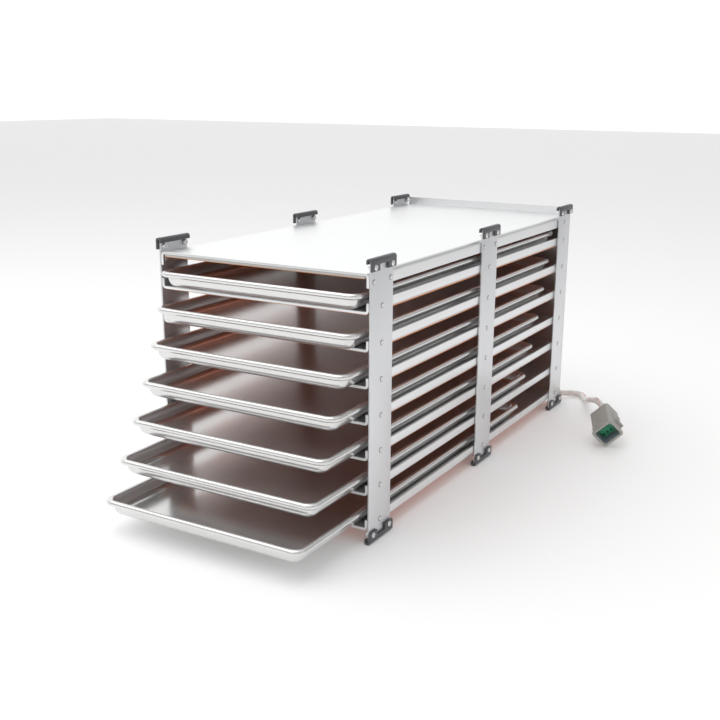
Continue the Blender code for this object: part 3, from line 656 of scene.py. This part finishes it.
class BuildUprights(bpy.types.Operator):
    """Builds the six flat uprights"""

    bl_idname = "shelf_rack.uprights"
    bl_label = "Uprights"

    def execute(self, context):
        rack = settings().rack
        outer = BAR_INNER + rack.bar_thickness
        for hand, side in SIDES:
            for place, centre in zip(PLACES, BAR_CENTRES):
                x = sorted((side * BAR_INNER, side * outer))
                low = (x[0], centre - BAR_WIDTH / 2, BAR_BOTTOM)
                high = (x[1], centre + BAR_WIDTH / 2, BAR_TOP)
                bar = rounded_box(low, high, rack.edge)
                node = f"upright_{place}_{hand}"
                piece(f"bar_{place}_{hand}", [bar], finishes()["upright"], "rack", [node])
        return {"FINISHED"}


class BuildRivets(bpy.types.Operator):
    """Builds the rivets: a low domed head with a dimple outside, a turned ring of a tail inside"""

    bl_idname = "shelf_rack.rivets"
    bl_label = "Rivets"

    def execute(self, context):
        rack, sizes = settings().rack, settings().fasteners
        radius, height = sizes.head_radius, sizes.head_height
        dome = arc((0, 0), 1, 0, 66, 6) * (radius, height)
        dimple = np.array(((0.30, 0.86), (0.22, 0.55), (0.10, 0.45))) * (radius, height)
        profile = [(radius, -0.2 * height), *dome, *dimple]
        head = turned(profile, 20)
        inner = -(rack.bar_thickness + GAP + rack.sheet)
        tail_radius, end = sizes.tail_radius, inner - sizes.tail_height
        tail = turned(
            (
                (tail_radius, inner),
                (tail_radius, end + 0.3 * sizes.tail_height),
                (0.85 * tail_radius, end),
                (0.55 * tail_radius, end),
                (0.45 * tail_radius, end + 0.6 * sizes.tail_height),
                (0.20 * tail_radius, end + 0.7 * sizes.tail_height),
            ),
            14,
        )
        outer = BAR_INNER + rack.bar_thickness
        places = []
        for _, side in SIDES:
            for bar, centre in enumerate(BAR_CENTRES):
                places += [side_matrix(side, outer, centre, z + sizes.up_tray) for z in TRAY_BOTTOMS]
                offsets = (0,) if bar == len(BAR_CENTRES) - 1 else (-sizes.pair_spread, sizes.pair_spread)
                high = TOP_SURFACE - sizes.down_top
                places += [side_matrix(side, outer, centre + offset, high) for offset in offsets]
        heads, tails = copies(head, places), copies(tail, places)
        mesh = mesh_of("rivets", [heads, tails], 50)
        # Points on the head's outer ring get 1, so that the finish paints a shadow line there.
        on_painted_rim_shade = np.repeat([distance > 0.70 * radius for distance, _ in profile], 20)
        made = mesh.attributes.new("rim", "FLOAT", "POINT")
        rim = np.concatenate((np.tile(on_painted_rim_shade, len(places)), np.zeros(len(tails[0]))))
        made.data.foreach_set("value", rim.astype(np.float32))
        piece("rivets", mesh, finishes()["rivet"])
        return {"FINISHED"}


def bent_section(half, sheet, bend, flange, inset, steps=8):
    """Outline of a flat sheet with both edges turned up, drawn in all round by an inset."""
    outer = bend - inset
    inner = bend - sheet + inset
    low, high = inset, sheet - inset
    tip = flange - inset
    centre = half - bend
    right_out = arc((centre, bend), outer, 270, 360, steps)
    right_in = arc((centre, bend), inner, 360, 270, steps)
    right_tip = np.array(((half - low, tip), (half - high, tip)))
    mirror = (-1, 1)
    left_in = (right_in * mirror)[::-1]
    left_tip = (right_tip * mirror)[::-1]
    left_out = (right_out * mirror)[::-1]
    return np.concatenate((right_out, right_tip, right_in, left_in, left_tip, left_out))


def bent_sheet(half, sheet, bend, flange, edge, length):
    """A bent sheet along Y from zero, with its cut ends rounded over."""
    angle = np.linspace(0, np.pi / 2, 4)
    inset = edge * (1 - np.sin(angle))
    rise = edge * (1 - np.cos(angle))
    stations = np.concatenate((rise, length - rise[::-1]))
    rings = []
    for station, drawn_in in zip(stations, np.concatenate((inset, inset[::-1]))):
        section = bent_section(half, sheet, bend, flange, drawn_in)
        rings.append(np.insert(section, 1, station, axis=1))
    return loft(rings)


class BuildShelves(bpy.types.Operator):
    """Builds the seven bent trays and the top shelf, which is the same shape upside down"""

    bl_idname = "shelf_rack.shelves"
    bl_label = "Shelves"

    def execute(self, context):
        rack = settings().rack
        length = REAR_Y - FRONT_Y
        sizes = (SHELF_HALF, rack.sheet, rack.bend_radius)
        tray = bent_sheet(*sizes, TRAY_FLANGE, rack.edge, length)
        for number, bottom in zip(TRAYS, TRAY_BOTTOMS):
            shell = placed(tray, Matrix.Translation((0, FRONT_Y, bottom)))
            piece(f"shelf_{number}", [shell], finishes()["shelf"], "rack", [f"tray_shelf_{number}"])
        top = bent_sheet(*sizes, TOP_FLANGE, rack.edge, length)
        upside_down = Matrix.Translation((0, FRONT_Y, TOP_SURFACE)) @ Matrix.Rotation(math.pi, 4, "Y")
        piece("shelf_top", [placed(top, upside_down)], finishes()["shelf"], "rack", ["top_shelf"])
        paint_node("rear_panel", "shelf")
        return {"FINISHED"}


def mark_lit_cut_edges(mesh):
    """Stores 1 on faces that look sideways and 0 on faces that look up or down; the film's finish paints the
    sideways ones a brighter orange, as painted light.
    """
    normals = np.zeros(len(mesh.polygons) * 3, np.float32)
    mesh.polygons.foreach_get("normal", normals)
    upright = np.abs(normals.reshape(-1, 3)[:, 2]) < 0.8
    made = mesh.attributes.new("cut_edge", "FLOAT", "FACE")
    made.data.foreach_set("value", upright.astype(np.float32))


class BuildFilms(bpy.types.Operator):
    """Builds the film heaters, the board over the top one and the sealed terminals"""

    bl_idname = "shelf_rack.films"
    bl_label = "Film heaters"

    def execute(self, context):
        rack = settings().rack
        for number in HEATERS:
            node = f"film_heater_{number}"
            low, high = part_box(node)
            under_top = number == max(HEATERS)
            top = high.z - (rack.panel_thickness if under_top else 0)
            under_board = high.z - low.z - TERMINAL_DEPTH - rack.panel_thickness
            bottom = top - (under_board if under_top else rack.film_thickness)
            sheet = rounded_box((low.x, low.y, bottom), (high.x, high.y, top), 0.0001, 0.004)
            film = mesh_of(f"film_{number}", [sheet])
            mark_lit_cut_edges(film)
            piece(f"film_{number}", film, finishes()["film"], "rack", [node])
            if under_top:
                board = rounded_box((low.x, low.y, top + GAP / 3), (high.x, high.y, high.z), 0.0003, 0.002)
                piece("top_board", [board], finishes()["panel"], "rack", [node])
        covers = []
        for number in HEATERS:
            low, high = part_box(f"film_heater_{number}")
            end = (TERMINAL_X + TERMINAL_WIDTH / 2, high.y, low.z + TERMINAL_DEPTH - GAP)
            start = (TERMINAL_X - TERMINAL_WIDTH / 2, high.y - TERMINAL_LENGTH, low.z)
            covers.append(rounded_box(start, end, 0.0009, 0.002))
        piece("terminal_covers", covers, finishes()["seal"], "rack", ())
        return {"FINISHED"}


TERMINAL_WIDTH = 0.016
TERMINAL_LENGTH = 0.012
TERMINAL_DEPTH = 0.0030
TERMINAL_X = TRUNK_X - 0.023


def clip_section(sizes, thickness, inset, steps=6):
    """Outline of a clip across the upright; X is zero on the bar's outer face and Z on its end."""
    crown = GAP + sizes.crown - inset
    outer = GAP + sizes.plate - inset
    inner = -(thickness + GAP + sizes.plate) + inset
    leg = GAP + sizes.crown - sizes.height + inset
    lip = GAP + sizes.crown - sizes.lip_height + inset
    corner = sizes.corner - inset
    high = crown - corner
    return np.concatenate(
        (
            [(GAP + inset, leg), (outer, leg)],
            arc((outer - corner, high), corner, 0, 90, steps),
            arc((inner + corner, high), corner, 90, 180, steps),
            [(inner, lip), (inner + sizes.plate - 2 * inset, lip)],
            [(inner + sizes.plate - 2 * inset, GAP + inset), (GAP + inset, GAP + inset)],
        )
    )


def clip_mesh(sizes, thickness):
    """A hook over the end of an upright: the section along Y, with a notch cut and its edges rounded."""
    section = clip_section(sizes, thickness, 0)
    rings = [np.insert(section, 1, y, axis=1) for y in (-sizes.length / 2, sizes.length / 2)]
    body = add_object("clip_body", mesh_of("clip_body", [loft(rings)]))
    notch_low = (GAP / 2, -sizes.notch_width / 2, GAP + sizes.crown - 2 * sizes.height)
    notch_high = (2 * sizes.plate, sizes.notch_width / 2, GAP + sizes.crown - sizes.notch_top)
    turn = Matrix.Rotation(math.pi / 2, 4, "Y")
    unturned = turn.inverted()
    corners = [unturned @ Vector(notch_low), unturned @ Vector(notch_high)]
    low = [min(pair) for pair in zip(*corners)]
    high = [max(pair) for pair in zip(*corners)]
    cutter = placed(rounded_box(low, high, 0.0001, 0.0012), turn)
    notch = add_object("clip_notch", mesh_of("clip_notch", [cutter]))
    cut = body.modifiers.new("notch", "BOOLEAN")
    cut.operation = "DIFFERENCE"
    cut.object = notch
    soft = body.modifiers.new("edges", "BEVEL")
    soft.width = sizes.edge
    soft.segments = 3
    soft.limit_method = "ANGLE"
    soft.angle_limit = math.radians(40)
    bpy.context.view_layer.update()
    made = bpy.data.meshes.new_from_object(body.evaluated_get(bpy.context.evaluated_depsgraph_get()))
    for thing in (body, notch):
        bpy.data.objects.remove(thing, do_unlink=True)
    made.polygons.foreach_set("use_smooth", np.ones(len(made.polygons), bool))
    made.set_sharp_from_angle(angle=math.radians(35))
    return made


class BuildClips(bpy.types.Operator):
    """Builds the twelve glide clips and their screws and nuts"""

    bl_idname = "shelf_rack.clips"
    bl_label = "Glide clips"

    def execute(self, context):
        sizes, fasteners, rack = settings().clip, settings().fasteners, settings().rack
        outer = BAR_INNER + rack.bar_thickness
        shape = clip_mesh(sizes, rack.bar_thickness)
        turns = {
            ("top", 1): Matrix.Identity(4),
            ("top", -1): Matrix.Rotation(math.pi, 4, "Z"),
            ("bottom", 1): Matrix.Rotation(math.pi, 4, "X"),
            ("bottom", -1): Matrix.Rotation(math.pi, 4, "Y"),
        }
        seats = []
        for (level, side), turn in turns.items():
            height = BAR_TOP if level == "top" else BAR_BOTTOM
            for place, centre in zip(PLACES, BAR_CENTRES):
                seat = Matrix.Translation((side * outer, centre, height)) @ turn
                mesh = shape.copy()
                mesh.transform(seat)
                hand = "right" if side > 0 else "left"
                name = f"clip_{level}_{place}_{hand}"
                piece(name, mesh, finishes()["clip"], "rack", [f"glide_{name}"])
                spread = fasteners.pair_spread
                seats += [seat @ Matrix.Translation((0, y, 0)) for y in (-spread, spread)]
        bpy.data.meshes.remove(shape)
        head_r, head_h = fasteners.screw_radius, fasteners.screw_height
        dome = arc((0, 0), 1, 0, 62, 6) * (head_r, head_h)
        recess = np.array(((0.40, 0.80), (0.36, 0.35), (0.15, 0.30))) * (head_r, head_h)
        face = GAP + sizes.plate
        down = GAP + sizes.crown - sizes.screw_down
        outwards = Matrix.Rotation(math.pi / 2, 4, "Y")
        head_place = Matrix.Translation((face, 0, down)) @ outwards
        head = placed(turned([(head_r, -0.2 * head_h), *dome, *recess], 24), head_place)
        nut_shares = ((0.88, 0), (1, -0.1), (1, -0.88), (0.85, -1), (0.50, -1), (0.46, -0.8), (0.20, -0.8))
        nut_profile = np.array(nut_shares) * (fasteners.nut_radius, fasteners.nut_height)
        nut_place = Matrix.Translation((-rack.bar_thickness - GAP, 0, down)) @ outwards
        nut = placed(turned(nut_profile, 20), nut_place)
        piece("clip_screws", [copies(head, seats)], finishes()["rivet"], sharp=50)
        piece("clip_nuts", [copies(nut, seats)], finishes()["rivet"], sharp=50)
        return {"FINISHED"}


def pan_section(sizes, height):
    """The pan's wall as (inset from the rim, height) pairs: up inside, round the rolled bead, down outside.

    The wall is straight between the floor's round and the bead, which is most of a circle."""
    radius = sizes.bead / 2
    centre = (radius, height - radius)
    sheet = sizes.sheet
    lean = sizes.bead - sheet + sizes.wall_slope
    floor = sizes.floor_radius
    inside_floor = arc((lean + floor, sheet + floor), floor, 270, 190, 7)
    bead = arc(centre, radius, 20, 200 + 120, 22)
    outside_floor = arc((lean + floor, sheet + floor), floor + sheet, 190, 270, 7)
    wall_out = np.array([(sizes.bead - 1.15 * sheet, height - sizes.bead - 0.3 * sheet)])
    return np.concatenate((inside_floor, bead, wall_out, outside_floor))


def pan_shell(sizes, width, length, height):
    """The pan as rings of its section: each is a rounded rectangle inset from the rim's outer edge."""
    section = pan_section(sizes, height)
    inset, level = section[:, 0], section[:, 1]
    radius = sizes.corner_radius - inset / 2
    ring = rounded_rectangle(width / 2 - inset, length / 2 - inset, radius, sizes.corner_steps)
    levels = np.broadcast_to(level[:, None, None], (*ring.shape[:2], 1))
    return loft(np.concatenate((ring, levels), axis=-1))


class BuildPans(bpy.types.Operator):
    """Builds the seven sheet pans with rolled rims"""

    bl_idname = "shelf_rack.pans"
    bl_label = "Sheet pans"

    def execute(self, context):
        for number in PANS:
            low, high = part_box(f"sheet_pan_{number}")
            shell = pan_shell(settings().pan, high.x - low.x, high.y - low.y, high.z - low.z)
            middle = ((low.x + high.x) / 2, (low.y + high.y) / 2, low.z)
            shell = placed(shell, Matrix.Translation(middle))
            node = f"sheet_pan_{number}"
            piece(f"pan_{number}_sheet", [shell], finishes()["pan"], f"pan_{number}", [node], sharp=60)
        return {"FINISHED"}


# Distance from the middle and number of wires, from the middle out: tied in the trunk, loose in the cable.
TRUNK_LAYERS = ((0.0, 1), (0.0018, 5), (0.0030, 9))
CABLE_LAYERS = ((0.0, 1), (0.0023, 5), (0.0044, 9))


class BuildHarness(bpy.types.Operator):
    """Builds the trunk of wires down the rear corner and the heaters' pairs of leads"""

    bl_idname = "shelf_rack.harness"
    bl_label = "Harness"

    def execute(self, context):
        sizes = settings().harness
        heights = np.linspace(TRUNK_LOW.z, TRUNK_HIGH.z, 90)
        path = np.stack((np.full(90, TRUNK_X), np.full(90, TRUNK_Y), heights), axis=-1)
        shells = wire_bundle(path, TRUNK_LAYERS, sizes.wire_radius, sizes.twist_pitch, 8, 0.6)
        mesh = mesh_of("trunk_wires", shells)
        tint_shells(mesh, shells, wire_tints(len(shells)))
        piece("trunk_wires", mesh, finishes()["wire"], "rack", ["harness_trunk"])
        leads, nodes = [], []
        for number in HEATERS:
            node = f"heater_lead_{number}"
            low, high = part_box(node)
            nodes.append(node)
            start, end = high.z - sizes.lead_radius, low.z + sizes.lead_radius
            beside = high.x
            x = low.x + sizes.lead_radius
            route = (
                (x, low.y, start),
                (x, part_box("rear_panel")[1].y, start),
                ((2 * x + beside) / 3, TRUNK_Y, (2 * start + end) / 3),
                (beside - 4 * sizes.lead_radius, TRUNK_Y, end),
                (beside, TRUNK_Y, end),
            )
            path = smooth_route(route, 40)
            leads += wire_bundle(path, ((0.5 * sizes.lead_radius, 2),), 0.48 * sizes.lead_radius, 0.018, 8, 0)
        mesh = mesh_of("lead_pairs", leads)
        tint_shells(mesh, leads, np.tile((0.0, 0.8), len(leads) // 2))
        piece("lead_pairs", mesh, finishes()["wire"], "rack", nodes)
        paint_node("harness_clamp_lower", "clamp")
        paint_node("harness_clamp_upper", "clamp")
        return {"FINISHED"}


def wire_tints(count):
    """How pink each wire is: every fourth one is tinted and the others are nearly white."""
    return np.where(np.arange(count) % 4 == 2, 0.75, 0.05)


def connector_place():
    """The matrix that puts the connector's own frame, +Y from mouth to back, in its place on the floor."""
    mouth = Vector((TRUNK_X, TRUNK_Y, 0)) + Vector(CONNECTOR_MOUTH)
    return Matrix.Translation(mouth) @ Euler(CONNECTOR_TURN, "YXZ").to_matrix().to_4x4()


def stacked(half, levels, steps=5):
    """Rounded rectangles along Y: each level is (distance, inset from the half sizes, corner radius)."""
    along, inset, corner = np.array(levels, float).T
    ring = rounded_rectangle(half[0] - inset, half[1] - inset, corner, steps)
    along = np.broadcast_to(along[:, None], ring.shape[:2])
    return loft(np.stack((ring[..., 0], along, ring[..., 1]), axis=-1))


class BuildConnector(bpy.types.Operator):
    """Builds the connector on the floor: housing, a sheet of painted shade in its mouth, ribs, latch, wedge
    with painted shade for its pin holes, pins and seal
    """

    bl_idname = "shelf_rack.connector"
    bl_label = "Connector"

    def execute(self, context):
        sizes = settings().connector
        place = connector_place()
        half = half_w, half_h = sizes.width / 2, sizes.height / 2
        wall, lip, length = sizes.wall, sizes.lip, sizes.length
        rear_floor = sizes.mouth_depth + sizes.partition
        round_out, round_in = 0.0046, 0.0032
        edge = 0.0005
        levels = (
            (rear_floor, wall, round_in),
            (length - edge, wall, round_in),
            (length, wall - edge, round_in + edge),
            (length, 2 * edge, round_out),
            (length - edge, edge, round_out),
            (length - 2 * edge, 0, round_out),
            (0.0165, 0, round_out),
            (0.0160, -0.4 * lip, round_out),
            (0.0035, -0.4 * lip, round_out),
            (0.0030, -lip, round_out),
            (edge, -lip, round_out),
            (0, edge - lip, round_out - edge),
            (0, wall - edge, round_in + edge),
            (edge, wall, round_in),
            (sizes.mouth_depth, wall, round_in),
        )
        shell = stacked(half, levels)
        ear = sizes.flange_width / 2
        high = half_h + lip
        over = half_w + 0.0012
        rib_top = half_h + 0.0007
        # Two ears, two ribs along the right side, two on top and a pad below.
        corners = [
            ((-ear, 0.0130, -0.55 * half_h), (-half_w + edge, 0.0160, 0.55 * half_h)),
            ((half_w - edge, 0.0130, -0.85 * half_h), (ear, 0.0160, 0.30 * half_h)),
            ((half_w - edge, 0.0160, -0.80 * half_h), (over, 0.0400, -0.62 * half_h)),
            ((half_w - edge, 0.0160, 0.10 * half_h), (over, 0.0400, 0.26 * half_h)),
            ((-0.0012, 0.0165, half_h - edge), (0.0012, 0.0500, high)),
            ((-0.60 * half_w, 0.0030, half_h - edge), (-0.48 * half_w, 0.0500, rib_top)),
            ((-0.35 * half_w, 0.0040, -high), (0.35 * half_w, 0.0090, -half_h + edge)),
        ]
        for start in (0.0040, 0.0070, 0.0100):
            grip_end = (-half_w + edge, start + 0.0013, 0.10 * half_h)
            corners.append(((-ear + 0.0016, start, -0.50 * half_h), grip_end))
        extras = [rounded_box(*pair, edge) for pair in corners]
        housing = [placed(part, place) for part in (shell, *extras)]
        finish = finishes()
        nodes = ["connector_housing"]
        piece("connector_shell", housing, finish["housing"], "rack", nodes, sharp=40)
        # A thin darker sheet over the mouth's inner walls: painted shade inside the mouth.
        bottom = sizes.mouth_depth - 0.0001
        levels = (
            (0.0012, wall + 0.0001, round_in),
            (bottom, wall + 0.0001, round_in),
            (bottom, wall + 0.0008, round_in),
            (0.0014, wall + 0.0005, round_in),
        )
        lining = stacked(half, levels)
        lining = placed(mouth_shade_ring(lining), place)
        piece("connector_mouth_shade", [lining], finish["inside"], "rack", ())
        self.build_wedge(place, sizes, half)
        end = length + sizes.seal_overhang
        levels = (
            (rear_floor + GAP, wall + GAP, round_in),
            (length + 0.5 * edge, wall + GAP, round_in),
            (end - 0.0012, wall + 0.0009, 0.0030),
            (end, wall + 0.0024, 0.0030),
        )
        seal = stacked(half, levels)
        seal = placed(seal, place)
        piece("connector_seal_block", [seal], finish["seal"], "rack", ["connector_seal"])
        return {"FINISHED"}

    def build_wedge(self, place, sizes, half):
        """The wedge fills the back of the mouth; two rows of near-black squares on its face are painted shade
        for the holes that show the pins.
        """
        back = sizes.mouth_depth - GAP
        front = back - 0.0070
        side = sizes.wall + 0.0010
        levels = ((back, side, 0.0012), (front + 0.0005, side, 0.0012), (front, side + 0.0005, 0.0010))
        body = stacked(half, levels)
        bridge = rounded_box((-0.0030, front - 0.0020, -0.0020), (0.0030, front + 0.0010, 0.0020), 0.0004)
        wedge = [placed(part, place) for part in (body, bridge)]
        piece("connector_wedge_block", wedge, finishes()["wedge"], "rack", ["connector_wedge"])
        # Each pin hole is a thin near-black square on the wedge's face: painted shade, not a cut hole.
        hole_shade_square = rounded_box((-0.0016, -0.00015, -0.0016), (0.0016, 0.00015, 0.0016), 0.0001, 0.0008)
        columns = np.linspace(-1, 1, 4) * (half[0] - sizes.wall - 0.0042)
        spots = [place @ Matrix.Translation((x, front, z)) for x in columns for z in (-0.0062, 0.0062)]
        piece("connector_pin_hole_shades", [copies(hole_shade_square, spots)], finishes()["pin_hole_shade"], "rack", ())
        pin = turned(((0.0003, -0.0100), (0.0006, -0.0094), (0.0007, -0.0080), (0.0007, 0.0)), 12)
        along = Matrix.Rotation(-math.pi / 2, 4, "X")
        pins = [spot @ along for spot in spots]
        piece("connector_pins", [copies(pin, pins)], finishes()["rivet"], "rack", ())


def mouth_shade_ring(shell):
    """The mouth's sheet of painted shade as a closed ring: its two caps are taken off and its ends joined."""
    points, blocks = shell
    size = blocks[1].shape[1]
    return loft(points.reshape(-1, size, 3), wrap=True)


class BuildCable(bpy.types.Operator):
    """Builds the free bundle of wires from under the trunk to the connector's back"""

    bl_idname = "shelf_rack.cable"
    bl_label = "Cable"

    def execute(self, context):
        sizes, connector = settings().harness, settings().connector
        place = connector_place()
        foot = Vector((TRUNK_X, TRUNK_Y, 0))
        seal_end = connector.length + connector.seal_overhang
        radius = sizes.cable_radius
        straight_out = [place @ Vector((0, seal_end + GAP + 3 * radius * i, 0)) for i in (1.6, 0.8, 0)]
        start = foot + Vector((0, 0, TRUNK_LOW.z - GAP))
        route = [start, *(foot + Vector(point) for point in CABLE_ROUTE), *straight_out]
        path = smooth_route(route, sizes.cable_points)
        shells = wire_bundle(path, CABLE_LAYERS, sizes.wire_radius, sizes.twist_pitch, 8)
        mesh = mesh_of("cable_wires", shells)
        tint_shells(mesh, shells, wire_tints(len(shells)))
        cable = piece("cable_wires", mesh, finishes()["wire"], "rack", ["harness_cable"])
        return {"FINISHED"}


def pale_room():
    """A white world that is dimmer towards the rack's right and over its front."""
    world = bpy.data.worlds.new("pale_room")
    world.use_nodes = True
    tree = world.node_tree
    direction = tree.nodes.new("ShaderNodeTexCoord").outputs["Generated"]
    strength = tree.nodes["Background"].inputs["Strength"]
    level = None
    for centre, share in DIM_SIDES:
        facing = tree.nodes.new("ShaderNodeVectorMath")
        facing.operation = "DOT_PRODUCT"
        facing.inputs[1].default_value = centre
        tree.links.new(direction, facing.inputs[0])
        dimming = tree.nodes.new("ShaderNodeMapRange")
        dimming.interpolation_type = "SMOOTHSTEP"
        for socket, value in zip(dimming.inputs[1:5], (0.15, 0.85, 1.0, share)):
            socket.default_value = value
        tree.links.new(facing.outputs["Value"], dimming.inputs[0])
        product = tree.nodes.new("ShaderNodeMath")
        product.operation = "MULTIPLY"
        product.inputs[1].default_value = WORLD_STRENGTH
        if level:
            tree.links.new(level, product.inputs[1])
        tree.links.new(dimming.outputs[0], product.inputs[0])
        level = product.outputs[0]
    tree.links.new(level, strength)
    tree.nodes["Background"].inputs["Color"].default_value = (1, 1, 1, 1)
    return world


def area_light(name, place, target, size, power):
    data = bpy.data.lights.new(name, "AREA")
    data.shape = "RECTANGLE"
    data.size, data.size_y = size
    data.energy = power
    made = add_object(name, data)
    made.location = place
    made.rotation_euler = (Vector(target) - Vector(place)).to_track_quat("-Z", "Y").to_euler()
    return made


class BuildStage(bpy.types.Operator):
    """Builds the pale floor, the soft lights and the camera"""

    bl_idname = "shelf_rack.stage"
    bl_label = "Stage"

    def execute(self, context):
        scene = bpy.context.scene
        scene.world = pale_room()
        scene.view_settings.view_transform = "Standard"
        half = 12.0
        low, high = (-half, -half, -0.0500), (half, half, -0.0002)
        floor = add_object("floor", mesh_of("floor", [rounded_box(low, high, 0.001)]))
        constants = {"Roughness": 0.85, "Specular IOR Level": 0.2, "Emission Strength": 0.12}
        finish = Finish("floor_pale", {**constants, "Emission Color": (1, 1, 1, 1)})
        clouds = finish.noise(finish.place(), 2.0, 2)
        finish.feed("Base Color", finish.mix(clouds, (0.93, 0.93, 0.93), (0.95, 0.95, 0.95)))
        floor.data.materials.append(finish.material)
        area_light("key_light", (-0.6, -0.9, 2.2), (0, 0, 0.15), (2.6, 2.6), 26)
        area_light("side_light", (2.2, -0.2, 1.0), (0, 0, 0.15), (1.4, 1.4), 2)
        camera_data = bpy.data.cameras.new("camera")
        camera_data.lens = CAMERA_LENS
        camera_data.sensor_width = CAMERA_SENSOR
        camera = add_object("camera", camera_data)
        tilt = Matrix.Rotation(math.pi / 2 - CAMERA_ELEVATION, 4, "X")
        aim = Matrix.Rotation(CAMERA_AZIMUTH, 4, "Z") @ tilt
        camera.matrix_world = Matrix.Translation(CAMERA_PLACE) @ aim @ Matrix.Rotation(CAMERA_ROLL, 4, "Z")
        scene.camera = camera
        return {"FINISHED"}


class ShelfRackPanel(bpy.types.Panel):
    """Lists the rack's builders and sizes"""

    bl_idname = "VIEW3D_PT_shelf_rack"
    bl_label = "Shelf rack"
    bl_space_type = "VIEW_3D"
    bl_region_type = "UI"
    bl_category = "Shelf rack"

    def draw(self, context):
        for operator in OPERATORS:
            self.layout.operator(operator.bl_idname)
        for group_name in ShelfRack.__annotations__:
            box = self.layout.box()
            box.label(text=group_name)
            group = getattr(settings(), group_name)
            for name in group.__annotations__:
                box.prop(group, name)


SIZE_GROUPS = (RackSizes, FastenerSizes, ClipSizes, PanSizes, HarnessSizes, ConnectorSizes)
GROUPS = (*SIZE_GROUPS, FinishColours, ShelfRack)
OPERATORS = (
    BuildStage,
    BuildConnector,
    BuildCable,
    BuildHarness,
    BuildUprights,
    BuildRivets,
    BuildShelves,
    BuildFilms,
    BuildClips,
    BuildPans,
)


def register():
    for item in (*GROUPS, *OPERATORS, ShelfRackPanel):
        bpy.utils.register_class(item)
    bpy.types.Scene.shelf_rack = PointerProperty(type=ShelfRack)


def unregister():
    del bpy.types.Scene.shelf_rack
    for item in reversed((*GROUPS, *OPERATORS, ShelfRackPanel)):
        bpy.utils.unregister_class(item)


def main():
    register()
    for operator in OPERATORS:
        group, name = operator.bl_idname.split(".")
        getattr(getattr(bpy.ops, group), name)()


if __name__ == "__main__":
    main()
